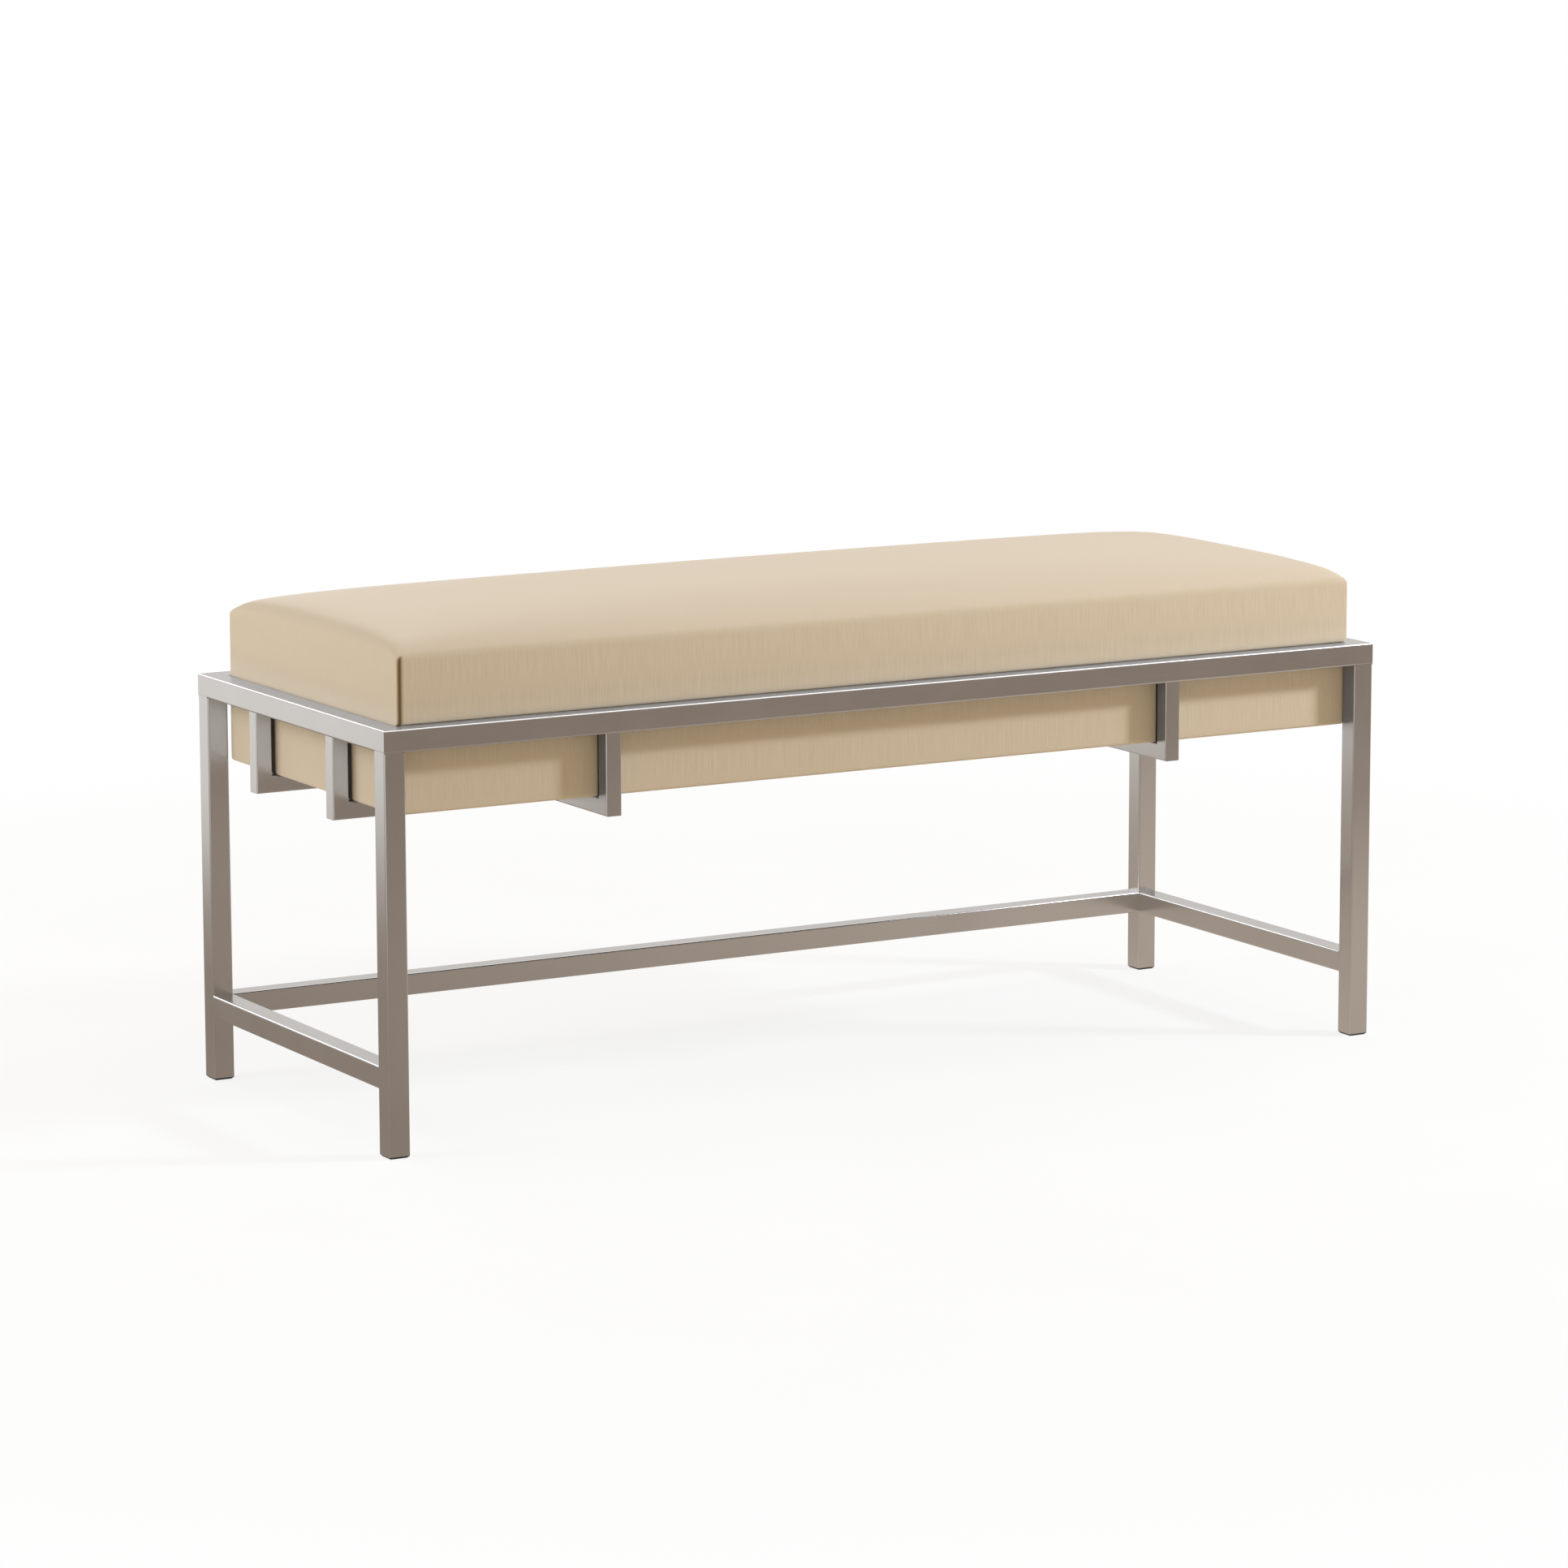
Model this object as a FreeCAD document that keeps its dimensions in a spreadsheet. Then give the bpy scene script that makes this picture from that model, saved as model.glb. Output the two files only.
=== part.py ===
"""Hotel luggage bench: a welded stand of square steel tube that carries an upholstered box seat.

The top ring is four mitred rails on four legs, with low stretchers at the left, the right and the
rear.  A cradle of thinner tube hangs from the ring and reaches under the seat, which drops through
the ring and is screwed to the cradle from below.

Frame of the model: X along the bench, -Y to its open front, +Z up, origin on the floor below the
centre.  Millimetres.
"""
import FreeCAD, Part
import math
import os
import Sketcher
from FreeCAD import Placement, Rotation, Vector

SIZES = {
    # welded stand
    "bench_length": 1219.2,       # over the ring, 48 in
    "bench_depth": 457.2,         # over the ring, 18 in
    "frame_height": 444.5,        # floor to the ring's top
    "tube_size": 24.0,            # outer side of the stand's square tube
    "tube_wall": 1.5,
    "tube_corner": 2.0,           # outer corner radius of that tube
    "stretcher_clearance": 70.5,  # floor to the stretchers' underside
    "weld_relief": 0.1,           # ground welds lie this much under the tubes' faces
    # cradle under the seat
    "bar_size": 18.0,             # outer side of the cradle's square tube
    "bar_wall": 1.5,
    "bar_corner": 1.5,
    "bar_setback": 2.0,           # ring's outer faces to the posts' outer faces
    "cross_bar_offset": 345.5,    # bench centre to a cross bar's centreline
    "end_arm_offset": 94.0,       # bench centre to an end arm's centreline
    # feet
    "sole_height": 2.5,           # floor to the legs' cut ends
    "sole_rim": 0.6,              # leg's outer face to the sole's edge
    "sole_bevel": 2.1,
    "plug_length": 20.0,
    "plug_wall": 2.0,
    "plug_clearance": 0.1,
    # upholstered seat, outside
    "seat_clearance": 1.0,        # cover to the ring's inner faces
    "seat_drop": 93.0,            # ring's top to the seat's underside
    "seat_rise": 101.6,           # ring's top to the middle of the crown
    "crown_rise": 25.0,           # top edges to the flat middle of the crown
    "crown_run": 140.0,           # seat's sides to that flat middle
    "crown_edge_radius": 14.0,
    "end_outline_lift": 1.0,      # lengthwise outline above and below the crosswise one
    "skirt_edge_radius": 8.0,
    "fabric_thickness": 1.5,
    "fabric_turn_in": 32.0,       # width of the cover that is turned under the seat
    "batting_thickness": 6.8,
    "layer_gap": 0.2,             # between the layers of the upholstery
    "dust_cloth_thickness": 0.8,
    "dust_cloth_gap": 0.5,        # dust cloth to the cover's turned-in edge
    # wooden box inside the seat
    "box_height": 106.0,          # underside of the base panel to the top of the deck
    "panel_thickness": 12.0,
    "deck_thickness": 9.0,
    "board_thickness": 18.0,
    "rib_offset": 195.0,          # bench centre to a rib's centreline
    "block_side": 28.0,
    # screws that hold the seat on the cradle
    "screw_offset": 70.0,         # bench centre to a screw, across the bench
    "screw_radius": 3.0,
    "screw_length": 35.0,
    "screw_clearance": 0.5,       # screw to the holes in bars, washers and dust cloth
    "head_radius": 6.0,
    "head_height": 3.6,
    "washer_radius": 7.5,
    "washer_thickness": 1.6,
    "tee_barrel_radius": 4.0,
    "tee_barrel_length": 9.0,
    "tee_flange_radius": 9.5,
    "tee_flange_thickness": 1.4,
    "tee_fit": 0.05,              # screw to the tee nut, and tee nut to its hole
}

# Levels and insets worked out from the sizes, as expressions of the document.
RING_BOTTOM = "(Size.frame_height - Size.tube_size)"
RAIL_LEVEL = "(Size.frame_height - Size.tube_size / 2)"
LEG_LENGTH = f"({RING_BOTTOM} - Size.sole_height)"
STRETCHER_LEVEL = "(Size.stretcher_clearance + Size.tube_size / 2)"
SEAT_BOTTOM = "(Size.frame_height - Size.seat_drop)"
SEAT_TOP = "(Size.frame_height + Size.seat_rise)"
SEAT_LENGTH = "(Size.bench_length - 2 * Size.tube_size - 2 * Size.seat_clearance)"
SEAT_DEPTH = "(Size.bench_depth - 2 * Size.tube_size - 2 * Size.seat_clearance)"
ARCH_RADIUS = "((Size.crown_run ^ 2 + Size.crown_rise ^ 2) / (2 * Size.crown_rise))"
BAR_BOTTOM = f"({SEAT_BOTTOM} - Size.bar_size)"
BAR_LEVEL = f"({SEAT_BOTTOM} - Size.bar_size / 2)"
POST_LENGTH = f"({RING_BOTTOM} - {BAR_BOTTOM})"
BATTING_INSET = "(Size.fabric_thickness + Size.layer_gap)"
LINING_INSET = f"({BATTING_INSET} + Size.batting_thickness)"
CORE_INSET = f"({LINING_INSET} + Size.layer_gap)"
CORE_LENGTH = f"({SEAT_LENGTH} - 2 * {CORE_INSET})"
CORE_DEPTH = f"({SEAT_DEPTH} - 2 * {CORE_INSET})"
PANEL_INSET = f"max({CORE_INSET}; Size.skirt_edge_radius + Size.layer_gap)"
PANEL_BOTTOM = f"({SEAT_BOTTOM} + Size.fabric_thickness)"
PANEL_TOP = f"({PANEL_BOTTOM} + Size.panel_thickness)"
DECK_TOP = f"({PANEL_BOTTOM} + Size.box_height)"
BOARD_HEIGHT = "(Size.box_height - Size.panel_thickness - Size.deck_thickness)"
WINDOW_LENGTH = f"({SEAT_LENGTH} - 2 * Size.fabric_turn_in)"
WINDOW_DEPTH = f"({SEAT_DEPTH} - 2 * Size.fabric_turn_in)"
SCREW_HOLE = "(Size.screw_radius + Size.screw_clearance)"

ALONG_X, ALONG_Y, UP = Vector(1, 0, 0), Vector(0, 1, 0), Vector(0, 0, 1)
ENDS = (("left", -1), ("right", 1))
FACES = (("front", -1), ("rear", 1))
TOLERANCE = 0.001

doc = FreeCAD.newDocument("luggage_bench")
sheet = doc.addObject("Spreadsheet::Sheet", "Size")
for row, (size_name, size_value) in enumerate(SIZES.items(), start=1):
    sheet.set(f"A{row}", size_name)
    sheet.set(f"B{row}", str(size_value))
    sheet.setAlias(f"B{row}", size_name)
doc.recompute()
sub_parts = []


def value_of(expression):
    """The present value of an expression, for a sketch's first drawing."""
    return float(sheet.evalExpression(expression))


def keep(piece, label):
    """Name a finished sub-part and list it for export."""
    piece.Label = label
    sub_parts.append(piece)
    return piece


def place(piece, x, y, z, rotation=Rotation()):
    """Turn a piece and bind its position to expressions."""
    piece.Placement = Placement(Vector(0, 0, 0), rotation)
    for axis, expression in (("x", x), ("y", y), ("z", z)):
        piece.setExpression(f"Placement.Base.{axis}", expression)
    return piece


# ---- sketches and features -----------------------------------------------------------------------

def new_body(name):
    return doc.addObject("PartDesign::Body", name)


def sketch_on(body, role):
    """A new sketch on one of the body's own origin planes."""
    plane = next(f for f in body.Origin.OriginFeatures if f.Role == role)
    sketch = body.newObject("Sketcher::SketchObject", f"{body.Name}_sketch")
    sketch.AttachmentSupport = [(plane, "")]
    sketch.MapMode = "FlatFace"
    return sketch


def dimension(sketch, name, expression, kind, *where):
    """A named dimension, bound to its expression."""
    index = sketch.addConstraint(Sketcher.Constraint(kind, *where, value_of(expression)))
    sketch.renameConstraint(index, name)
    sketch.setExpression(f"Constraints.{name}", expression)


def draw_outline(sketch, edges):
    """Edges joined end to end into one closed loop."""
    for edge in edges:
        sketch.addGeometry(edge)
    for n in range(len(edges)):
        following = (n + 1) % len(edges)
        sketch.addConstraint(Sketcher.Constraint("Coincident", n, 2, following, 1))


def lines_through(corners):
    following = corners[1:] + corners[:1]
    return [Part.LineSegment(Vector(*a), Vector(*b)) for a, b in zip(corners, following)]


def draw_rectangle(sketch, width, height):
    """A rectangle centred on the sketch's origin."""
    half_w, half_h = value_of(width) / 2, value_of(height) / 2
    corners = [(-half_w, -half_h, 0), (half_w, -half_h, 0), (half_w, half_h, 0), (-half_w, half_h, 0)]
    draw_outline(sketch, lines_through(corners))
    for kind, line in (("Horizontal", 0), ("Vertical", 1), ("Horizontal", 2), ("Vertical", 3)):
        sketch.addConstraint(Sketcher.Constraint(kind, line))
    sketch.addConstraint(Sketcher.Constraint("Symmetric", 0, 1, 2, 1, -1, 1))
    dimension(sketch, "width", width, "DistanceX", 0, 1, 0, 2)
    dimension(sketch, "height", height, "DistanceY", 1, 1, 1, 2)


def draw_holes(sketch, radius, centres):
    """Circles of one radius; each centre is a pair of expressions."""
    for n, (x, y) in enumerate(centres):
        centre = Vector(value_of(x), value_of(y), 0)
        sketch.addGeometry(Part.Circle(centre, UP, value_of(radius)))
        dimension(sketch, f"radius_{n}", radius, "Radius", n)
        dimension(sketch, f"x_{n}", x, "DistanceX", -1, 1, n, 3)
        dimension(sketch, f"y_{n}", y, "DistanceY", -1, 1, n, 3)


def pad(body, sketch, length, side="One side"):
    feature = body.newObject("PartDesign::Pad", f"{body.Name}_pad")
    feature.Profile = sketch
    feature.SideType = side
    feature.setExpression("Length", length)
    doc.recompute()
    return feature


def pocket_through(body, sketch):
    """Cut the sketch through the whole body, both ways from its plane."""
    before = body.Shape.Volume
    feature = body.newObject("PartDesign::Pocket", f"{body.Name}_pocket")
    feature.Profile = sketch
    feature.Type = "ThroughAll"
    feature.SideType = "Symmetric"
    doc.recompute()
    if not body.Shape.Volume < before:
        raise RuntimeError(f"{feature.Name} cut nothing")
    return feature


def round_edges(body, feature, radius, chosen):
    """Fillet the feature's edges for which chosen(first point, last point) holds."""
    names = []
    for number, edge in enumerate(feature.Shape.Edges, start=1):
        if chosen(edge.firstVertex().Point, edge.lastVertex().Point):
            names.append(f"Edge{number}")
    fillet = body.newObject("PartDesign::Fillet", f"{body.Name}_fillet")
    fillet.Base = (feature, names)
    fillet.setExpression("Radius", radius)
    doc.recompute()
    return fillet


def at_level(level):
    """Chooser of the edges whose two ends lie at one height."""
    height = value_of(level)
    return lambda a, b: abs(a.z - height) < TOLERANCE and abs(b.z - height) < TOLERANCE


def box(name, length, width, height, x, y, z):
    """A Part::Box whose least corner is at x, y, z."""
    piece = doc.addObject("Part::Box", name)
    piece.setExpression("Length", length)
    piece.setExpression("Width", width)
    piece.setExpression("Height", height)
    return place(piece, x, y, z)


def centred_box(name, length, width, height, z):
    """A Part::Box over the bench's centre, its underside at z."""
    return box(name, length, width, height, f"-{length} / 2", f"-{width} / 2", z)


def cylinder(name, radius, height, x, y, z):
    piece = doc.addObject("Part::Cylinder", name)
    piece.setExpression("Radius", radius)
    piece.setExpression("Height", height)
    return place(piece, x, y, z)


def combine(kind, name, base, tool):
    """A boolean of two pieces: Part::Cut, Part::Fuse or Part::Common."""
    piece = doc.addObject(kind, name)
    piece.Base = base
    piece.Tool = tool
    doc.recompute()
    return piece


def cut(name, base, tool):
    return combine("Part::Cut", name, base, tool)


def fuse(name, base, tool):
    return combine("Part::Fuse", name, base, tool)


def group(name, members):
    """Separate solids that count as one sub-part."""
    piece = doc.addObject("Part::Compound", name)
    piece.Links = members
    doc.recompute()
    return piece


# ---- square tube ---------------------------------------------------------------------------------

STAND_TUBE = ("Size.tube_size", "Size.tube_wall", "Size.tube_corner")
CRADLE_TUBE = ("Size.bar_size", "Size.bar_wall", "Size.bar_corner")


def aim(along, outward):
    """Rotation that lays a tube's length along one direction and its long face outward."""
    inward = outward.negative()
    return Rotation(along, inward, along.cross(inward), "XYZ")


def tube(label, section, length, mitred_start=False, mitred_end=False):
    """A hollow square tube on its own X axis, from 0 to length.

    The face at -Y is the long one.  A mitred end is cut back at 45 degrees towards +Y.
    """
    size, wall, corner = section
    body = new_body(label)
    plan = sketch_on(body, "XY_Plane")
    reach, side = value_of(length), value_of(size)
    start = side if mitred_start else 0
    end = reach - side if mitred_end else reach
    corners = [(0, -side / 2, 0), (reach, -side / 2, 0), (end, side / 2, 0), (start, side / 2, 0)]
    draw_outline(plan, lines_through(corners))
    plan.addConstraint(Sketcher.Constraint("Horizontal", 0))
    plan.addConstraint(Sketcher.Constraint("Horizontal", 2))
    plan.addConstraint(Sketcher.Constraint("PointOnObject", 0, 1, -2))
    dimension(plan, "length", length, "DistanceX", 0, 1, 0, 2)
    dimension(plan, "side", size, "DistanceY", 0, 1, 3, 1)
    dimension(plan, "half_side", f"{size} / 2", "DistanceY", 0, 1, -1, 1)
    if mitred_start:
        dimension(plan, "start_mitre", size, "DistanceX", 0, 1, 3, 1)
    else:
        plan.addConstraint(Sketcher.Constraint("Vertical", 3))
    if mitred_end:
        dimension(plan, "end_mitre", size, "DistanceX", 2, 1, 0, 2)
    else:
        plan.addConstraint(Sketcher.Constraint("Vertical", 1))
    block = pad(body, plan, size, "Symmetric")

    def runs_along(a, b):
        return abs(a.y - b.y) < TOLERANCE and abs(a.z - b.z) < TOLERANCE

    round_edges(body, block, corner, runs_along)
    bore = sketch_on(body, "YZ_Plane")
    inner_side = f"({size} - 2 * {wall})"
    draw_rectangle(bore, inner_side, inner_side)
    pocket_through(body, bore)
    return keep(body, label)


# ---- welded stand --------------------------------------------------------------------------------

def make_ring():
    """Four rails, mitred at the corners."""
    length, depth, half_tube = "Size.bench_length", "Size.bench_depth", "Size.tube_size / 2"
    rails = []
    for name, sign in FACES:
        rail = tube(f"top_rail_{name}", STAND_TUBE, length, True, True)
        turn = aim(ALONG_X * -sign, ALONG_Y * sign)
        y = f"{sign} * ({depth} / 2 - {half_tube})"
        rails.append(place(rail, f"{sign} * {length} / 2", y, RAIL_LEVEL, turn))
    for name, sign in ENDS:
        rail = tube(f"top_rail_{name}", STAND_TUBE, depth, True, True)
        turn = aim(ALONG_Y * sign, ALONG_X * sign)
        x = f"{sign} * ({length} / 2 - {half_tube})"
        rails.append(place(rail, x, f"{-sign} * {depth} / 2", RAIL_LEVEL, turn))
    return rails


def make_legs():
    """A leg under each corner of the ring, keyed by its place."""
    legs = {}
    for face, sign_y in FACES:
        for end, sign_x in ENDS:
            leg = tube(f"leg_{face}_{end}", STAND_TUBE, LEG_LENGTH)
            x = f"{sign_x} * (Size.bench_length / 2 - Size.tube_size / 2)"
            y = f"{sign_y} * (Size.bench_depth / 2 - Size.tube_size / 2)"
            legs[face, end] = place(leg, x, y, "Size.sole_height", aim(UP, ALONG_Y * sign_y))
    return legs


def make_stretchers():
    """Low stretchers between the legs at both ends and at the rear."""
    for name, sign in ENDS:
        piece = tube(f"stretcher_{name}", STAND_TUBE, "(Size.bench_depth - 2 * Size.tube_size)")
        x = f"{sign} * (Size.bench_length / 2 - Size.tube_size / 2)"
        y = "-Size.bench_depth / 2 + Size.tube_size"
        place(piece, x, y, STRETCHER_LEVEL, aim(ALONG_Y, ALONG_X))
    piece = tube("stretcher_rear", STAND_TUBE, "(Size.bench_length - 2 * Size.tube_size)")
    x = "-Size.bench_length / 2 + Size.tube_size"
    y = "Size.bench_depth / 2 - Size.tube_size / 2"
    place(piece, x, y, STRETCHER_LEVEL, aim(ALONG_X, ALONG_Y))


def ring_weld(rails, face, sign_y, end, sign_x):
    """Weld metal under the ring's rounded lower edge, on the outer faces of one leg."""
    side = "(Size.tube_size - Size.weld_relief - Size.tube_corner)"
    x = f"{sign_x} * (Size.bench_length / 2 - Size.weld_relief - {side} / 2) - {side} / 2"
    y = f"{sign_y} * (Size.bench_depth / 2 - Size.weld_relief - {side} / 2) - {side} / 2"
    name = f"ring_weld_{face}_{end}"
    blank = box(f"{name}_blank", side, side, "Size.tube_wall", x, y, RING_BOTTOM)
    return cut(name, blank, rails)


def stretcher_weld(name, leg, length, width, x, y):
    """Weld metal beside a leg's rounded edges, where a stretcher butts against it."""
    height = "(Size.tube_size - 2 * Size.tube_corner)"
    z = f"({STRETCHER_LEVEL} - {height} / 2)"
    return cut(name, box(f"{name}_blank", length, width, height, x, y, z), leg)


def make_welds(rails, legs):
    """Ground weld metal: flush strips at every leg, and beside every stretcher's end."""
    ring = group("ring", rails)
    welds = []
    width = "(Size.tube_size - 2 * Size.weld_relief)"
    depth = "Size.tube_wall"
    for face, sign_y in FACES:
        for end, sign_x in ENDS:
            welds.append(ring_weld(ring, face, sign_y, end, sign_x))
            leg = legs[face, end]
            leg_x = f"{sign_x} * (Size.bench_length / 2 - Size.tube_size / 2)"
            inner_y = f"{sign_y} * (Size.bench_depth / 2 - Size.tube_size + {depth} / 2)"
            x, y = f"{leg_x} - {width} / 2", f"{inner_y} - {depth} / 2"
            welds.append(stretcher_weld(f"end_weld_{face}_{end}", leg, width, depth, x, y))
    for end, sign_x in ENDS:
        leg_y = "(Size.bench_depth / 2 - Size.tube_size / 2)"
        inner_x = f"{sign_x} * (Size.bench_length / 2 - Size.tube_size + {depth} / 2)"
        x, y = f"{inner_x} - {depth} / 2", f"{leg_y} - {width} / 2"
        leg = legs["rear", end]
        welds.append(stretcher_weld(f"rear_weld_{end}", leg, depth, width, x, y))
    keep(group("welds", welds), "frame_welds")


# ---- cradle under the seat -----------------------------------------------------------------------

def make_cross_bars():
    """Two U-shaped hangers across the bench: front post, drilled bar and rear post."""
    for end, sign_x in ENDS:
        x = f"{sign_x} * Size.cross_bar_offset"
        for face, sign_y in FACES:
            post = tube(f"cradle_post_{face}_{end}", CRADLE_TUBE, POST_LENGTH, True)
            y = f"{sign_y} * (Size.bench_depth / 2 - Size.bar_setback - Size.bar_size / 2)"
            place(post, x, y, BAR_BOTTOM, aim(UP, ALONG_Y * sign_y))
        span = "(Size.bench_depth - 2 * Size.bar_setback)"
        bar = tube(f"cradle_cross_bar_{end}", CRADLE_TUBE, span, True, True)
        holes = sketch_on(bar, "XZ_Plane")
        centres = [(f"{span} / 2 - Size.screw_offset", "0"), (f"{span} / 2 + Size.screw_offset", "0")]
        draw_holes(holes, SCREW_HOLE, centres)
        pocket_through(bar, holes)
        place(bar, x, f"-{span} / 2", BAR_LEVEL, aim(ALONG_Y, UP * -1))


def make_end_arms():
    """L-shaped hangers at both ends: a post, and an arm that runs to the cross bar."""
    for end, sign_x in ENDS:
        for face, sign_y in FACES:
            y = f"{sign_y} * Size.end_arm_offset"
            post = tube(f"cradle_end_post_{face}_{end}", CRADLE_TUBE, POST_LENGTH, True)
            x = f"{sign_x} * (Size.bench_length / 2 - Size.bar_setback - Size.bar_size / 2)"
            place(post, x, y, BAR_BOTTOM, aim(UP, ALONG_X * sign_x))
            tip = "(Size.bench_length / 2 - Size.bar_setback)"
            reach = f"({tip} - Size.cross_bar_offset - Size.bar_size / 2)"
            arm = tube(f"cradle_end_arm_{face}_{end}", CRADLE_TUBE, reach, True)
            place(arm, f"{sign_x} * {tip}", y, BAR_LEVEL, aim(ALONG_X * -sign_x, UP * -1))


# ---- feet ----------------------------------------------------------------------------------------

def make_foot_glides():
    """Nylon inserts: a hollow plug inside the leg and a bevelled square sole below it."""
    for face, sign_y in FACES:
        for end, sign_x in ENDS:
            body = new_body(f"foot_glide_{face}_{end}")
            sole_side = "(Size.tube_size - 2 * Size.sole_rim)"
            sole = sketch_on(body, "XY_Plane")
            draw_rectangle(sole, sole_side, sole_side)
            block = pad(body, sole, "Size.sole_height")
            bevel = body.newObject("PartDesign::Chamfer", f"{body.Name}_bevel")
            ground = at_level("0")
            edges = enumerate(block.Shape.Edges, start=1)
            lowest = [n for n, e in edges if ground(e.firstVertex().Point, e.lastVertex().Point)]
            bevel.Base = (block, [f"Edge{n}" for n in lowest])
            bevel.setExpression("Size", "Size.sole_bevel")
            doc.recompute()
            plug_side = "(Size.tube_size - 2 * Size.tube_wall - 2 * Size.plug_clearance)"
            plug = sketch_on(body, "XY_Plane")
            plug.setExpression("AttachmentOffset.Base.z", "Size.sole_height")
            draw_rectangle(plug, plug_side, plug_side)
            pad(body, plug, "Size.plug_length")
            hollow_side = f"({plug_side} - 2 * Size.plug_wall)"
            hollow = sketch_on(body, "XY_Plane")
            hollow.setExpression("AttachmentOffset.Base.z", "Size.sole_height")
            draw_rectangle(hollow, hollow_side, hollow_side)
            before = body.Shape.Volume
            pocket = body.newObject("PartDesign::Pocket", f"{body.Name}_pocket")
            pocket.Profile = hollow
            pocket.Reversed = True
            pocket.setExpression("Length", "Size.plug_length")
            doc.recompute()
            if not body.Shape.Volume < before:
                raise RuntimeError(f"{pocket.Name} cut nothing")
            x = f"{sign_x} * (Size.bench_length / 2 - Size.tube_size / 2)"
            y = f"{sign_y} * (Size.bench_depth / 2 - Size.tube_size / 2)"
            place(body, x, y, "0")
            keep(body, f"foot_glide_{face}_{end}")


# ---- upholstery ----------------------------------------------------------------------------------

def arc(centre_x, centre_y, radius, start, end):
    """A sketch's arc, anticlockwise between two angles in degrees."""
    circle = Part.Circle(Vector(centre_x, centre_y, 0), UP, radius)
    return Part.ArcOfCircle(circle, math.radians(start), math.radians(end))


def line(start, end):
    return Part.LineSegment(Vector(*start, 0), Vector(*end, 0))


def draw_seat_outline(sketch, width, inset, bottom, crown, top_radius, bottom_radius):
    """A section of the seat: straight sides, and a flat top that falls away to both sides in arcs.

    The outline is symmetrical.  Where a radius is None, that pair of corners stays sharp.
    """
    top_round = value_of(top_radius) if top_radius else 0
    bottom_round = value_of(bottom_radius) if bottom_radius else 0
    arch_radius = f"({ARCH_RADIUS} - {inset})"
    arch = value_of(arch_radius)
    half = value_of(width) / 2 - value_of(inset)
    flat = value_of(width) / 2 - value_of("Size.crown_run")
    low, high = value_of(bottom), value_of(crown)
    run, centre_level = half - top_round - flat, high - arch
    rise = math.sqrt((arch - top_round) ** 2 - run ** 2)
    shoulder, slope = centre_level + rise, math.degrees(math.atan2(rise, run))

    edges = {"floor": line((bottom_round - half, low), (half - bottom_round, low))}
    if bottom_radius:
        edges["heel_right"] = arc(half - bottom_round, low + bottom_round, bottom_round, 270, 360)
    edges["side_right"] = line((half, low + bottom_round), (half, shoulder))
    if top_radius:
        edges["edge_right"] = arc(half - top_round, shoulder, top_round, 0, slope)
    edges["arch_right"] = arc(flat, centre_level, arch, slope, 90)
    edges["flat"] = line((flat, high), (-flat, high))
    edges["arch_left"] = arc(-flat, centre_level, arch, 90, 180 - slope)
    if top_radius:
        edges["edge_left"] = arc(top_round - half, shoulder, top_round, 180 - slope, 180)
    edges["side_left"] = line((-half, shoulder), (-half, low + bottom_round))
    if bottom_radius:
        edges["heel_left"] = arc(bottom_round - half, low + bottom_round, bottom_round, 180, 270)

    names = list(edges)
    number = {name: n for n, name in enumerate(names)}
    for edge in edges.values():
        sketch.addGeometry(edge)
    sharp = [("floor", "side_right"), ("side_right", "arch_right"),
             ("arch_left", "side_left"), ("side_left", "floor")]
    for name, following in zip(names, names[1:] + names[:1]):
        kind = "Coincident" if (name, following) in sharp else "Tangent"
        sketch.addConstraint(Sketcher.Constraint(kind, number[name], 2, number[following], 1))
    for name in ("side_right", "side_left"):
        sketch.addConstraint(Sketcher.Constraint("Vertical", number[name]))
    for name in ("floor", "flat"):
        sketch.addConstraint(Sketcher.Constraint("Symmetric", number[name], 1, number[name], 2, -2))
    dimension(sketch, "bottom", bottom, "DistanceY", -1, 1, number["floor"], 1)
    dimension(sketch, "crown", crown, "DistanceY", -1, 1, number["flat"], 1)
    flat_width = f"({width} - 2 * Size.crown_run)"
    dimension(sketch, "flat_width", flat_width, "DistanceX", number["flat"], 2, number["flat"], 1)
    dimension(sketch, "width", f"({width} - 2 * {inset})", "DistanceX",
              number["side_left"], 1, number["side_right"], 1)
    radii = {"arch": arch_radius, "edge": top_radius, "heel": bottom_radius}
    for name, position in number.items():
        kind = name.split("_")[0]
        if kind in radii:
            dimension(sketch, f"{name}_radius", radii[kind], "Radius", position)


def crowned_block(name, inset, bottom, top_radius=None, bottom_radius=None):
    """The seat's outer shape moved inwards by an inset.

    It is what two straight extrusions share, one of the outline across the bench and one of the
    outline along it.
    """
    crown = f"({SEAT_TOP} - {inset})"
    lift = "Size.end_outline_lift"
    outlines = [("across", "YZ_Plane", SEAT_DEPTH, "Size.bench_length", bottom, crown),
                ("along", "XZ_Plane", SEAT_LENGTH, "Size.bench_depth",
                 f"({bottom} - {lift})", f"({crown} + {lift})")]
    bodies = []
    for direction, plane, width, length, low, high in outlines:
        body = new_body(f"{name}_{direction}")
        outline = sketch_on(body, plane)
        draw_seat_outline(outline, width, inset, low, high, top_radius, bottom_radius)
        pad(body, outline, length, "Symmetric")
        bodies.append(body)
    return combine("Part::Common", name, *bodies)


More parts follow.
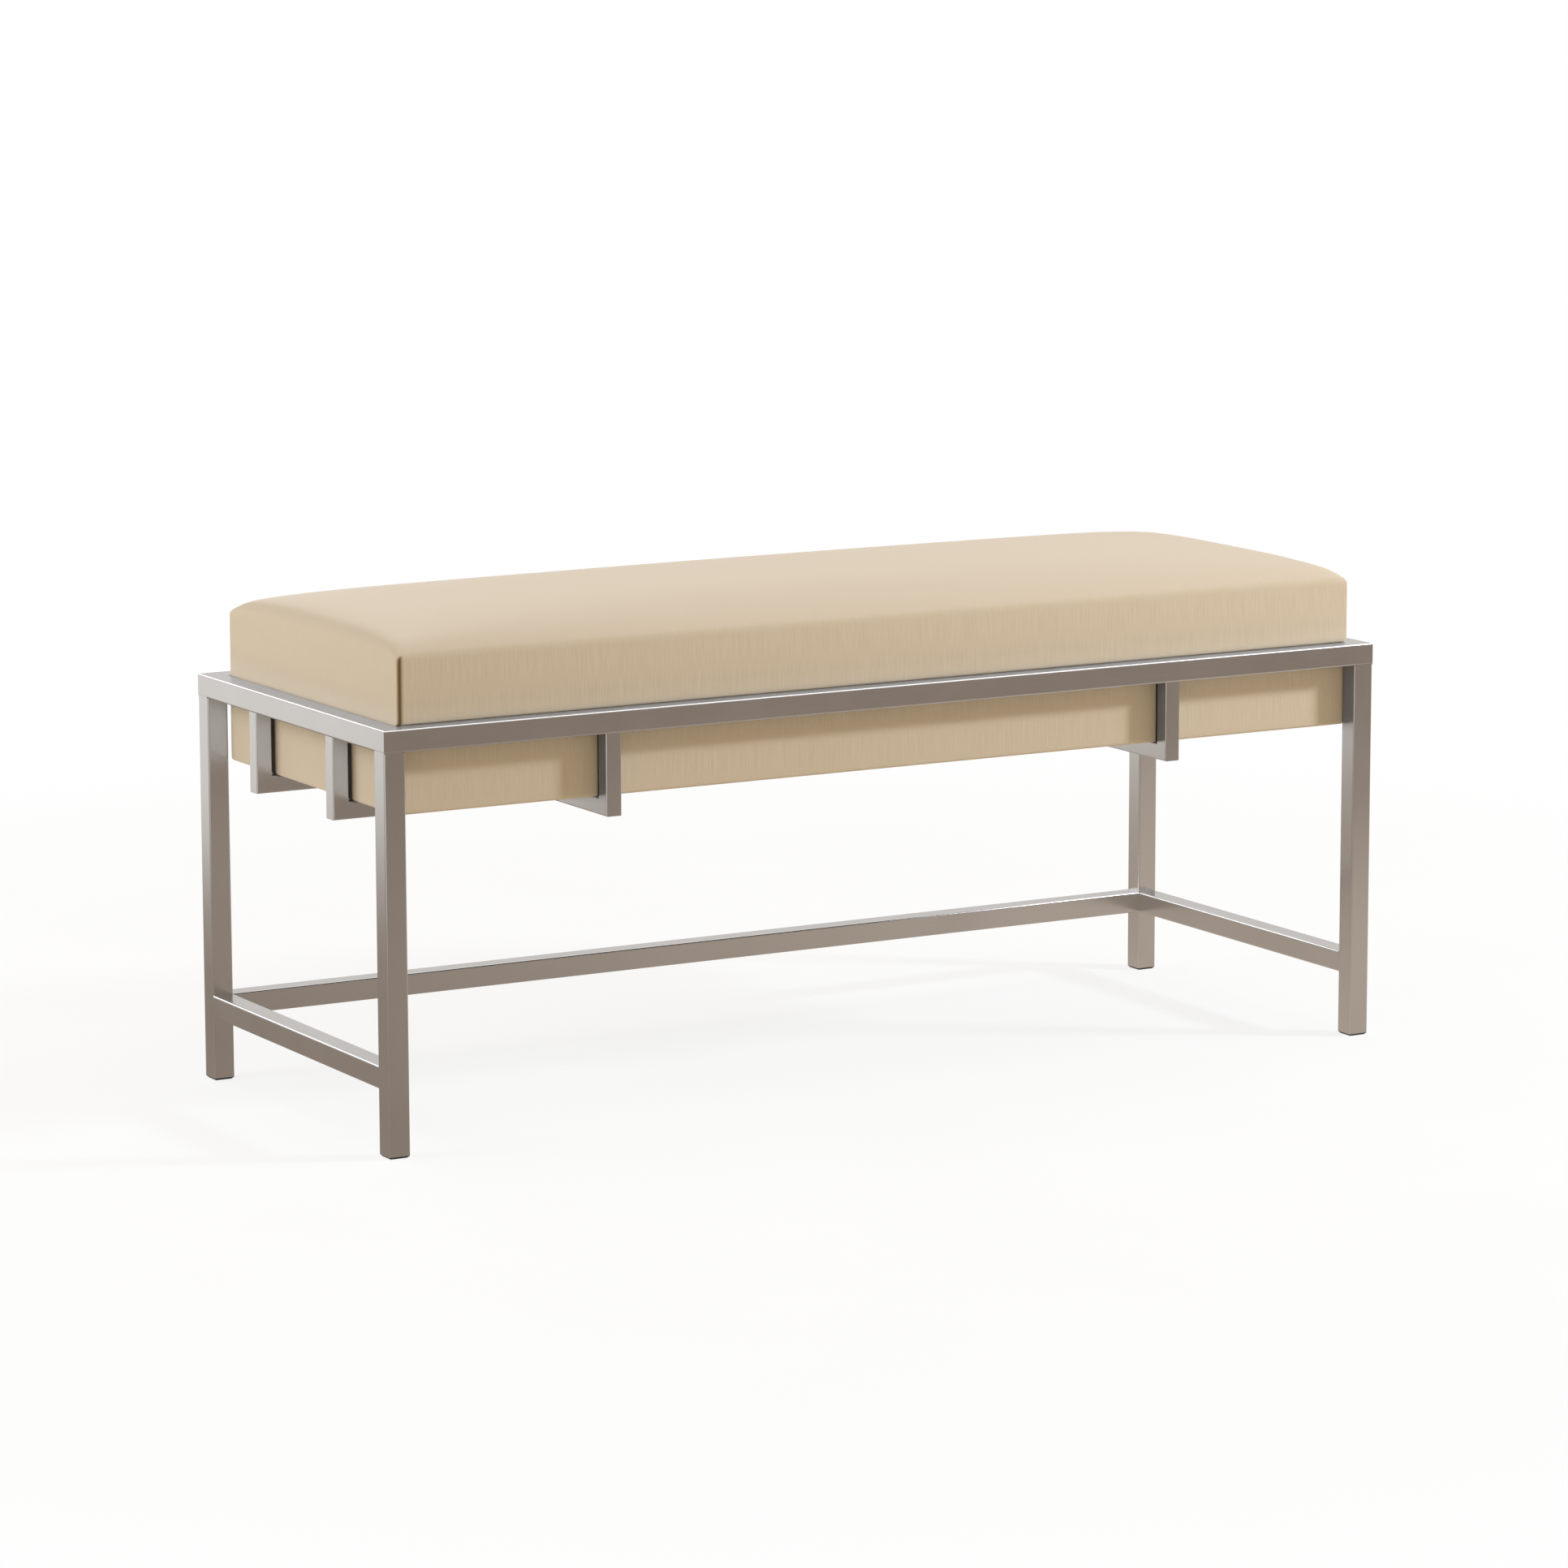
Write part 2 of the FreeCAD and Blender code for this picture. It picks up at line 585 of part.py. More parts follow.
def make_cover():
    """Upholstery fabric over the top and sides, turned in under the seat."""
    fabric = "Size.fabric_thickness"
    outside = crowned_block("cover_outside", "0", SEAT_BOTTOM,
                            "Size.crown_edge_radius", "Size.skirt_edge_radius")
    inside = crowned_block("cover_inside", fabric, PANEL_BOTTOM,
                           f"(Size.crown_edge_radius - {fabric})",
                           f"(Size.skirt_edge_radius - {fabric})")
    bag = cut("cover_bag", outside, inside)
    window = centred_box("cover_window", WINDOW_LENGTH, WINDOW_DEPTH,
                         "(Size.bar_size + Size.panel_thickness)", BAR_BOTTOM)
    keep(cut("cover", bag, window), "seat_cover")


def make_padding():
    """Batting over the foam and the box's sides, and the foam on the deck."""
    hem = f"({SEAT_BOTTOM} + Size.skirt_edge_radius)"
    wrap = crowned_block("wrap_outside", BATTING_INSET, hem,
                         f"(Size.crown_edge_radius - {BATTING_INSET})")
    lining = crowned_block("wrap_inside", LINING_INSET, SEAT_BOTTOM)
    keep(cut("wrap", wrap, lining), "batting_wrap")
    keep(crowned_block("foam", CORE_INSET, DECK_TOP), "foam_core")


# ---- wooden box ----------------------------------------------------------------------------------

def drilled_sheet(label, length, width, thickness, level, hole_radius):
    """A flat sheet over the bench's centre, with a hole at each seat screw."""
    body = new_body(label)
    outline = sketch_on(body, "XY_Plane")
    draw_rectangle(outline, length, width)
    pad(body, outline, thickness)
    holes = sketch_on(body, "XY_Plane")
    draw_holes(holes, hole_radius, screw_places())
    pocket_through(body, holes)
    place(body, "0", "0", level)
    return keep(body, label)


def screw_places():
    """The seat screws' places, as pairs of expressions."""
    return [(f"{sign_x} * Size.cross_bar_offset", f"{sign_y} * Size.screw_offset")
            for _, sign_x in ENDS for _, sign_y in FACES]


def make_box():
    """Base panel, four boards, two ribs, glued corner blocks and the deck."""
    drilled_sheet("seat_base_panel", f"({SEAT_LENGTH} - 2 * {PANEL_INSET})",
                  f"({SEAT_DEPTH} - 2 * {PANEL_INSET})", "Size.panel_thickness",
                  PANEL_BOTTOM, "(Size.tee_barrel_radius + Size.tee_fit)")
    thick = "Size.board_thickness"
    inner_depth = f"({CORE_DEPTH} - 2 * {thick})"
    for name, sign in FACES:
        y = f"{sign} * ({CORE_DEPTH} / 2 - {thick} / 2) - {thick} / 2"
        board = box(f"board_{name}", CORE_LENGTH, thick, BOARD_HEIGHT,
                    f"-{CORE_LENGTH} / 2", y, PANEL_TOP)
        keep(board, f"seat_board_{name}")
    for name, sign in ENDS:
        x = f"{sign} * ({CORE_LENGTH} / 2 - {thick} / 2) - {thick} / 2"
        board = box(f"board_{name}", thick, inner_depth, BOARD_HEIGHT,
                    x, f"-{inner_depth} / 2", PANEL_TOP)
        keep(board, f"seat_board_{name}")
        x = f"{sign} * Size.rib_offset - {thick} / 2"
        rib = box(f"rib_{name}", thick, inner_depth, BOARD_HEIGHT,
                  x, f"-{inner_depth} / 2", PANEL_TOP)
        keep(rib, f"seat_rib_{name}")
    side = "Size.block_side"
    blocks = []
    for face, sign_y in FACES:
        for end, sign_x in ENDS:
            x = f"{sign_x} * ({CORE_LENGTH} / 2 - {thick} - {side} / 2) - {side} / 2"
            y = f"{sign_y} * ({CORE_DEPTH} / 2 - {thick} - {side} / 2) - {side} / 2"
            blocks.append(box(f"block_{face}_{end}", side, side, BOARD_HEIGHT, x, y, PANEL_TOP))
    keep(group("blocks", blocks), "seat_corner_blocks")
    deck_level = f"({DECK_TOP} - Size.deck_thickness)"
    deck = centred_box("deck", CORE_LENGTH, CORE_DEPTH, "Size.deck_thickness", deck_level)
    keep(deck, "seat_deck")


def make_dust_cover():
    """Thin black cloth under the base panel, inside the cover's turned-in edge."""
    drilled_sheet("dust_cover", f"({WINDOW_LENGTH} - 2 * Size.dust_cloth_gap)",
                  f"({WINDOW_DEPTH} - 2 * Size.dust_cloth_gap)", "Size.dust_cloth_thickness",
                  f"({PANEL_BOTTOM} - Size.dust_cloth_thickness)", SCREW_HOLE)


# ---- seat screws ---------------------------------------------------------------------------------

def make_fasteners():
    """A screw from below at each place, with its washer and the tee nut in the base panel."""
    washer_level = f"({BAR_BOTTOM} - Size.washer_thickness)"
    head_level = f"({washer_level} - Size.head_height)"
    barrel_level = f"({PANEL_TOP} - Size.tee_barrel_length)"
    barrel_height = "(Size.tee_barrel_length + Size.tee_flange_thickness)"
    screws, washers, nuts = [], [], []
    for n, (x, y) in enumerate(screw_places()):
        head = cylinder(f"head_{n}", "Size.head_radius", "Size.head_height", x, y, head_level)
        shank = cylinder(f"shank_{n}", "Size.screw_radius", "Size.screw_length", x, y, washer_level)
        screws.append(fuse(f"screw_{n}", head, shank))
        disc = cylinder(f"disc_{n}", "Size.washer_radius", "Size.washer_thickness", x, y, washer_level)
        hole = cylinder(f"disc_hole_{n}", SCREW_HOLE, "Size.washer_thickness", x, y, washer_level)
        washers.append(cut(f"washer_{n}", disc, hole))
        flange = cylinder(f"flange_{n}", "Size.tee_flange_radius", "Size.tee_flange_thickness",
                          x, y, PANEL_TOP)
        barrel = cylinder(f"barrel_{n}", "Size.tee_barrel_radius", barrel_height, x, y, barrel_level)
        thread = cylinder(f"thread_{n}", "(Size.screw_radius + Size.tee_fit)", barrel_height,
                          x, y, barrel_level)
        nuts.append(cut(f"tee_nut_{n}", fuse(f"tee_blank_{n}", flange, barrel), thread))
    keep(group("screws", screws), "seat_screws")
    keep(group("washers", washers), "seat_washers")
    keep(group("tee_nuts", nuts), "seat_tee_nuts")


# ---- the bench -----------------------------------------------------------------------------------

def check_document():
    """Stop if any object failed, or if a sub-part has no sound shape."""
    for item in doc.Objects:
        if "Invalid" in item.State or "Error" in item.State:
            raise RuntimeError(f"{item.Name} failed: {item.State}")
    for piece in sub_parts:
        if piece.Shape.isNull() or not piece.Shape.isValid() or not piece.Shape.Solids:
            raise RuntimeError(f"{piece.Label} has no valid shape")


def export_sub_parts():
    os.makedirs("parts", exist_ok=True)
    for piece in sub_parts:
        piece.Shape.exportStep(f"parts/{piece.Label}.step")
        extent = piece.Shape.BoundBox
        print(f"{piece.Label}: {len(piece.Shape.Solids)} solid(s), {piece.Shape.Volume:.0f} mm3,"
              f" {extent.XLength:.1f} x {extent.YLength:.1f} x {extent.ZLength:.1f}")


ring_rails = make_ring()
stand_legs = make_legs()
make_stretchers()
make_welds(ring_rails, stand_legs)
make_cross_bars()
make_end_arms()
make_foot_glides()
make_cover()
make_padding()
make_box()
make_dust_cover()
make_fasteners()
doc.recompute()
check_document()
export_sub_parts()
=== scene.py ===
"""The looks of the hotel luggage bench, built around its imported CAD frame.

Metres, in the CAD frame: X along the bench, -Y to its open front, +Z up, the floor at 0.
"""

import math

import bpy
import numpy as np
from mathutils import Matrix, Vector


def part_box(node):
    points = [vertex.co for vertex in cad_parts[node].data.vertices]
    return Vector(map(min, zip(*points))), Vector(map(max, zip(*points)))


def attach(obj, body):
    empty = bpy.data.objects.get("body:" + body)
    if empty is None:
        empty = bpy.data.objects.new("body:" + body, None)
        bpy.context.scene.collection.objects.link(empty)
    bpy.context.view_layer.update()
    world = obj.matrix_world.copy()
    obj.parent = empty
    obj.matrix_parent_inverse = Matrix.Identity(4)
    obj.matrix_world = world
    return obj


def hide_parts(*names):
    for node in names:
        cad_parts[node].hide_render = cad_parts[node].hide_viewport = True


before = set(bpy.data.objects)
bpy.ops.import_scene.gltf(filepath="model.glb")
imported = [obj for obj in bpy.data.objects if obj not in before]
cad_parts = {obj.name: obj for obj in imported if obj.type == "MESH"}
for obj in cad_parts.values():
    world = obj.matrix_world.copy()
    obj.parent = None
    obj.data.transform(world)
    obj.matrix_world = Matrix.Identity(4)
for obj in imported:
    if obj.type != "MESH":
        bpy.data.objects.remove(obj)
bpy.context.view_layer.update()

MM = 0.001

# ---- sizes of the seat as upholstered ------------------------------------------------------------

COVER_LOW, COVER_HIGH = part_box("seat_cover")
RING_LOW, RING_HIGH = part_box("top_rail_front")
HALF_LENGTH, HALF_DEPTH = COVER_HIGH.x, COVER_HIGH.y
SEAT_BOTTOM = COVER_LOW.z
RING_BOTTOM, RING_TOP = RING_LOW.z, RING_HIGH.z

# How far each side of the seat stands out from the CAD cover's box: above the ring, inside the
# ring, and below it.
SIDES = ("left", "right", "front", "rear")
UPPER = dict(zip(SIDES, (-0.8 * MM, 6.0 * MM, 4.0 * MM, -0.8 * MM)))
INSIDE = dict(zip(SIDES, (-0.8 * MM, 0.7 * MM, 0.4 * MM, -0.8 * MM)))
BELOW = dict(zip(SIDES, (-0.4 * MM, 3.2 * MM, 0.7 * MM, -0.4 * MM)))
# Where a side leaves the ring, it swings out from INSIDE to UPPER: heights over the ring's top in
# millimetres, each with the share of the way that is reached there.
FLARE = ((0.15, 0.05), (0.25, 0.3), (0.6, 0.55), (1.5, 0.78), (3.2, 0.93), (6.0, 1.0))
FLARE_DEPTH = 1.0 * MM        # it starts this far below the ring's top
SKIRT_SPREAD = 6.0 * MM       # below the ring, the skirt spreads to BELOW over this height
SIDE_SWELL = 0.2 * MM         # the padded sides bulge this much halfway up
CORNER_FULLNESS = 2.6 * MM    # folded cloth makes the skirt's right corners this much fuller

# The top before the padding presses it out.
WALL_TOP = 509.5 * MM         # where the sides turn into the top
ROLL_HEIGHT = 12.7 * MM       # soft roll inside the top edges
ROLL_WIDTH_ENDS = 24.0 * MM
ROLL_WIDTH_FACES = 35.0 * MM
EDGE_ROUND = 3.0 * MM         # the tight rounding of the edge itself
CROWN_HEIGHT = 15.6 * MM
CROWN_POWER_ALONG = 13.5      # a higher power keeps the crown level further out
CROWN_POWER_ACROSS = 3.3

CORNER_ROUND = 3.2 * MM       # the sewn vertical corners, seen from above
SEAM_INSET = 1.9 * MM         # from each corner to its seam, which lies on the next panel
SEAM_DEPTH = 2.0 * MM
SEAM_WIDTH = 1.7 * MM
SEAM_SHADE_ROUND_CORNER = 2.3 * MM  # how far a seam's painted shade reaches to its two sides
SEAM_SHADE_TO_PANEL = 4.2 * MM
SEAM_OVER_EDGE = 2.6 * MM     # the seams run this far over the top edge
BEHIND_END_POST = 5.3 * MM    # half the width of the painted shade on the cloth behind an end post
BEHIND_POST = 7.3 * MM        # and behind a post on a long side
STRIP_BLUR = 0.5 * MM

# The edge and the underside of the seat.
HEEL_ROUND = 3.5 * MM
TURN_IN = 32.0 * MM           # width of the fabric under the seat
PRESSED_UP = 1.1 * MM         # the dust cloth presses that fabric up this much
RAW_EDGE_LIFT = 0.3 * MM      # its raw edge lies this much higher still
FOLD_STEP = 0.7 * MM          # folded corners under the seat hang this much lower
FOLD_FULL = 8.0 * MM          # from each corner, where a fold starts to thin out
FOLD_END = 46.0 * MM
FOLD_EDGE = (8.0 * MM, 11.0 * MM)  # over these insets, a fold sinks from nothing to its step

# Spacing of the seat's fine mesh: from its edges inwards in millimetres, and further in.
EDGE_STEPS = (0.35, 0.35, 0.4, 0.4, 0.5, 0.6, 0.6, 0.8, 1.0, 1.3, 1.8, 2.4, 3.2, 4.2, 5.4, 6.8)
MESH_STEP = 9.0 * MM

# The cloth simulation of the cover above the ring, on a coarse cage.
CAGE_STEP = 12.0 * MM
PADDING_PRESSURE = 0.15
COVER_STIFFNESS = 30.0
EDGE_HOLD = 0.3               # how firmly the foam holds the top edges back, from 0 to 1
SIMULATED_FRAMES = 20
MOST_MOVE = 8.0 * MM          # the padding moves no point of the cover further

# ---- sizes of what is under the seat -------------------------------------------------------------

CLOTH_OVERLAP = 10.0 * MM     # dust cloth over the turned-in fabric
CLOTH_THICKNESS = 0.5 * MM
CLOTH_LEVEL = SEAT_BOTTOM + 0.1 * MM
CLOTH_STEP = 6.0 * MM         # spacing of its mesh
HEM = 12.0 * MM
HEM_STEP = 0.4 * MM
HEM_BLUR = 0.6 * MM
HEM_STEPS = (0.3, 0.9, 4.0, 5.6, 0.6, 0.6, 0.6, 2.4)  # mesh spacing over the hem, millimetres
CLOTH_SAG = 1.6 * MM
SAG_TO_BAR = 6.0 * MM         # the sag ends this far from the cross bars
STAPLE_PULL = 0.22 * MM       # the cloth waves this much between its staples,
PULL_REACH = 32.0 * MM        # fading out over this width from its edges
PULL_START = (2.0 * MM, 14.0 * MM)
PULL_FROM_BAR = (20.0 * MM, 60.0 * MM)
STAPLE_PITCH = 38.0 * MM
STAPLE_LENGTH = 12.0 * MM
STAPLE_WIDTH = 1.2 * MM
STAPLE_WIRE = 0.5 * MM
STAPLE_SUNK = 0.3             # share of the wire that is pressed into the cloth
STAPLE_INSET = 6.0 * MM       # staples to the cloth's edge
STAPLE_CLEARANCE = 2.0 * MM   # staples to bars, arms and the cloth's corners

HEAD_RADIUS = 6.0 * MM        # button-head screws with a hexagon socket
HEAD_RIM = 0.9 * MM           # height of the head's straight edge
HEAD_DOME = 2.6 * MM          # the dome draws in this much
HEAD_FLAT = 3.2 * MM          # radius of the flat around the socket
SHANK_RADIUS = 3.0 * MM
SOCKET_RADIUS = 2.0 * MM      # to the middle of a flat
SOCKET_BEVEL = (0.15 * MM, 0.2 * MM)
SOCKET_DEPTH = 2.2 * MM
SOCKET_TIP = (0.2 * MM, 2.9 * MM)  # radius and depth of the drilled point under the socket
HEAD_SIDES = 48


def new_object(name, vertices, faces, smooth=True):
    """A mesh object of those vertices and faces, linked to the scene."""
    mesh = bpy.data.meshes.new(name)
    mesh.from_pydata([tuple(v) for v in vertices], [], [tuple(f) for f in faces])
    mesh.validate()
    mesh.shade_smooth() if smooth else mesh.shade_flat()
    made = bpy.data.objects.new(name, mesh)
    bpy.context.scene.collection.objects.link(made)
    return made


def smoothstep(value, low, high):
    share = np.clip((value - low) / (high - low), 0, 1)
    return share * share * (3 - 2 * share)


def quarter(share):
    """Height of a quarter circle over its width: 0 at the rim, 1 from the full width on."""
    return np.sqrt(1 - (1 - np.clip(share, 0, 1)) ** 2)


def spread(half, fine_steps, coarse_step):
    """Positions from -half to half that lie close together near both ends."""
    near = np.cumsum(fine_steps)
    inner = half - near[-1]
    middle = np.linspace(-inner, inner, 2 * round(inner / coarse_step) + 1)
    return np.concatenate([[-half], -half + near[:-1], middle, (half - near[:-1])[::-1], [half]])


def rim_of(index):
    """The border of a grid of vertex numbers, once round."""
    return np.concatenate([index[:, 0], index[-1, 1:], index[-2::-1, -1], index[0, -2:0:-1]])


def grid_faces(index):
    """The faces of a grid of vertex numbers."""
    corners = (index[:-1, :-1], index[1:, :-1], index[1:, 1:], index[:-1, 1:])
    return np.stack([corner.reshape(-1) for corner in corners], axis=-1)


def band_faces(ring, following):
    """The faces between two closed rings of vertex numbers."""
    return np.stack((ring, following, np.roll(following, -1), np.roll(ring, -1)), axis=-1)


def tube_faces(start, rows, sides):
    """The faces of a closed tube whose rings of vertices follow each other from a number on."""
    faces = []
    for row in range(rows - 1):
        for n in range(sides):
            a = start + row * sides + n
            b = start + row * sides + (n + 1) % sides
            faces.append((a, a + sides, b + sides, b))
    last = start + (rows - 1) * sides
    return [*faces, range(start, start + sides), range(last + sides - 1, last - 1, -1)]


# ---- seat ----------------------------------------------------------------------------------------

def stand_out(side, level):
    """How far one side stands out from the CAD cover's box at a level."""
    levels = [SEAT_BOTTOM, RING_BOTTOM - SKIRT_SPREAD, RING_BOTTOM, RING_TOP - FLARE_DEPTH]
    values = [BELOW[side], BELOW[side], INSIDE[side], INSIDE[side]]
    for above, share in FLARE:
        levels.append(RING_TOP + above * MM)
        values.append(INSIDE[side] + (UPPER[side] - INSIDE[side]) * share)
    return np.interp(level, levels, values)


def cushion_points(x, y, level):
    """Moves points of the plain seat outline onto the real one.

    The vertical corners become round, with their seams sunk in, and the sides stand out.
    Returns the points and how much painted shade of a seam each gets, from 0 to 1.
    """
    level = level + 0 * x
    inset_x, inset_y = HALF_LENGTH - np.abs(x), HALF_DEPTH - np.abs(y)
    in_corner = (inset_x < CORNER_ROUND) & (inset_y < CORNER_ROUND)
    a = np.where(in_corner, 1 - inset_x / CORNER_ROUND, 0)
    b = np.where(in_corner, 1 - inset_y / CORNER_ROUND, 0)
    at_rim = np.exp(-((np.minimum(inset_x, inset_y) / SEAM_OVER_EDGE) ** 2))
    # The left corners' seams lie on the front and the rear, the right ones' on the right end.
    off_seam = np.where(x > 0, inset_y - inset_x, inset_x - inset_y) - SEAM_INSET
    shade_width = np.where(off_seam < 0, SEAM_SHADE_ROUND_CORNER, SEAM_SHADE_TO_PANEL)
    shade = at_rim * np.exp(-((off_seam / shade_width) ** 2))
    sink = at_rim * np.exp(-((off_seam / SEAM_WIDTH) ** 2)) * SEAM_DEPTH / math.sqrt(2)
    round_a, round_b = a * np.sqrt(1 - b * b / 2), b * np.sqrt(1 - a * a / 2)
    new_x = np.where(in_corner, HALF_LENGTH - CORNER_ROUND * (1 - round_a), np.abs(x)) - sink
    new_y = np.where(in_corner, HALF_DEPTH - CORNER_ROUND * (1 - round_b), np.abs(y)) - sink
    swell = SIDE_SWELL * np.sin(np.pi * np.clip((level - RING_TOP) / (WALL_TOP - RING_TOP), 0, 1))
    out_x = np.where(x > 0, stand_out("right", level), stand_out("left", level))
    out_y = np.where(y > 0, stand_out("rear", level), stand_out("front", level))
    out_x += swell * (1 - (y / HALF_DEPTH) ** 4)
    fullness = CORNER_FULLNESS * (y / HALF_DEPTH) ** 12
    fullness *= smoothstep(RING_BOTTOM - level, 0, SKIRT_SPREAD)
    out_x += np.where(x > 0, fullness, 0)
    out_y += swell * (1 - (x / HALF_LENGTH) ** 8)
    new_x = np.sign(x) * new_x * (1 + out_x / HALF_LENGTH)
    new_y = np.sign(y) * new_y * (1 + out_y / HALF_DEPTH)
    return np.stack([new_x, new_y, level], axis=-1), shade


def crown_level(x, y):
    """Height of the seat's top over a point of the plain outline."""
    inset_x, inset_y = HALF_LENGTH - np.abs(x), HALF_DEPTH - np.abs(y)
    edge = EDGE_ROUND * quarter(inset_x / EDGE_ROUND) * quarter(inset_y / EDGE_ROUND)
    roll = ROLL_HEIGHT * quarter(inset_x / ROLL_WIDTH_ENDS) * quarter(inset_y / ROLL_WIDTH_FACES)
    along = 1 - np.abs(x / HALF_LENGTH) ** CROWN_POWER_ALONG
    across = 1 - np.abs(y / HALF_DEPTH) ** CROWN_POWER_ACROSS
    return WALL_TOP + edge + roll + CROWN_HEIGHT * along * across


def wall_rows():
    """Rows of the sides and the underside's rim from top to bottom: level and inset of each."""
    levels = [*np.linspace(WALL_TOP, RING_TOP + 9 * MM, 9)]
    levels += [RING_TOP + above * MM for above, _ in reversed(FLARE)]
    levels += [RING_TOP, RING_TOP - FLARE_DEPTH]
    levels += [*np.linspace(RING_TOP - 8 * MM, RING_BOTTOM, 3)]
    levels += [RING_BOTTOM - SKIRT_SPREAD * share for share in (0.2, 0.4, 0.6, 0.8, 1.0)]
    levels += [*np.linspace(RING_BOTTOM - 2 * SKIRT_SPREAD, SEAT_BOTTOM + HEEL_ROUND, 9)]
    rows = [(level, 0.0) for level in levels]
    for degrees in (15, 30, 45, 60, 75, 90):
        angle = math.radians(degrees)
        inset = HEEL_ROUND * (1 - math.cos(angle))
        rows.append((SEAT_BOTTOM + HEEL_ROUND * (1 - math.sin(angle)), inset))
    # The dust cloth's edge lies between the last of the low rows and the first pressed-up one.
    rows += [(SEAT_BOTTOM, inset * MM) for inset in (11, 15, 19, 21)]
    rows += [(SEAT_BOTTOM + PRESSED_UP, inset * MM) for inset in (23, 27, 31)]
    rows.append((SEAT_BOTTOM + PRESSED_UP + RAW_EDGE_LIFT, TURN_IN))
    return rows


def fold_drop(x, y, inset):
    """How much lower the folded corners lie: the end flaps are folded over the long ones."""
    on_end = np.abs(x) > HALF_LENGTH - 0.1 * MM
    drop = FOLD_STEP * (1 - smoothstep(HALF_DEPTH - np.abs(y), FOLD_FULL, FOLD_END))
    return np.where(on_end, drop, 0) * smoothstep(inset, *FOLD_EDGE)


def cage_surface(xs, ys, levels):
    """Points and faces of a coarse box over the ring: the seat's top and its sides down to it.

    Its last ring of points, at the lowest level, is closed by one face.
    """
    grid_x, grid_y = np.meshgrid(xs, ys, indexing="ij")
    points = [cushion_points(grid_x, grid_y, crown_level(grid_x, grid_y))[0].reshape(-1, 3)]
    index = np.arange(grid_x.size).reshape(grid_x.shape)
    faces = [grid_faces(index)]
    rim = ring = rim_of(index)
    rim_x, rim_y = grid_x.reshape(-1)[rim], grid_y.reshape(-1)[rim]
    for number, level in enumerate(levels):
        points.append(cushion_points(rim_x, rim_y, level)[0])
        following = grid_x.size + number * len(rim) + np.arange(len(rim))
        faces.append(band_faces(ring, following))
        ring = following
    return np.concatenate(points), [*np.concatenate(faces), ring[::-1]], rim, ring


def inflated(points, faces, held, edges):
    """Where a cover of those points goes when padding presses it out, simulated as cloth.

    The held points stay, and the foam holds those on the top edges back a little.
    """
    cage = new_object("cover_under_pressure", points, faces)
    group = cage.vertex_groups.new(name="held")
    group.add([int(v) for v in held], 1.0, "REPLACE")
    group.add([int(v) for v in edges], EDGE_HOLD, "REPLACE")
    cloth = cage.modifiers.new("cover", "CLOTH")
    settings = cloth.settings
    settings.vertex_group_mass = "held"
    settings.quality = 6
    settings.tension_stiffness = COVER_STIFFNESS
    settings.compression_stiffness = COVER_STIFFNESS
    settings.shear_stiffness = COVER_STIFFNESS / 2
    settings.bending_stiffness = 1.0
    settings.use_pressure = True
    settings.uniform_pressure_force = PADDING_PRESSURE
    settings.air_damping = 4.0
    settings.effector_weights.gravity = 0.0
    cloth.collision_settings.use_collision = False
    cloth.point_cache.frame_start, cloth.point_cache.frame_end = 1, SIMULATED_FRAMES
    for step in range(1, SIMULATED_FRAMES + 1):
        bpy.context.scene.frame_set(step)
    settled = cage.evaluated_get(bpy.context.evaluated_depsgraph_get()).data
    moved = np.empty(len(points) * 3)
    settled.vertices.foreach_get("co", moved)
    bpy.data.objects.remove(cage)
    bpy.context.scene.frame_set(1)
    return moved.reshape(-1, 3)


def cubic_sample(count, low, step, at):
    """Which of a count of evenly spaced values to read at those places, and their weights.

    The weights are a Catmull-Rom spline's, so what is read has no creases.
    """
    place = np.clip((at - low) / step, 0, count - 1)
    first = np.minimum(place.astype(int), count - 2)
    t = place - first
    rows = [np.clip(first + shift, 0, count - 1) for shift in (-1, 0, 1, 2)]
    weights = [-0.5 * t + t ** 2 - 0.5 * t ** 3, 1 - 2.5 * t ** 2 + 1.5 * t ** 3,
               0.5 * t + 2 * t ** 2 - 1.5 * t ** 3, -0.5 * t ** 2 + 0.5 * t ** 3]
    return list(zip(rows, weights))


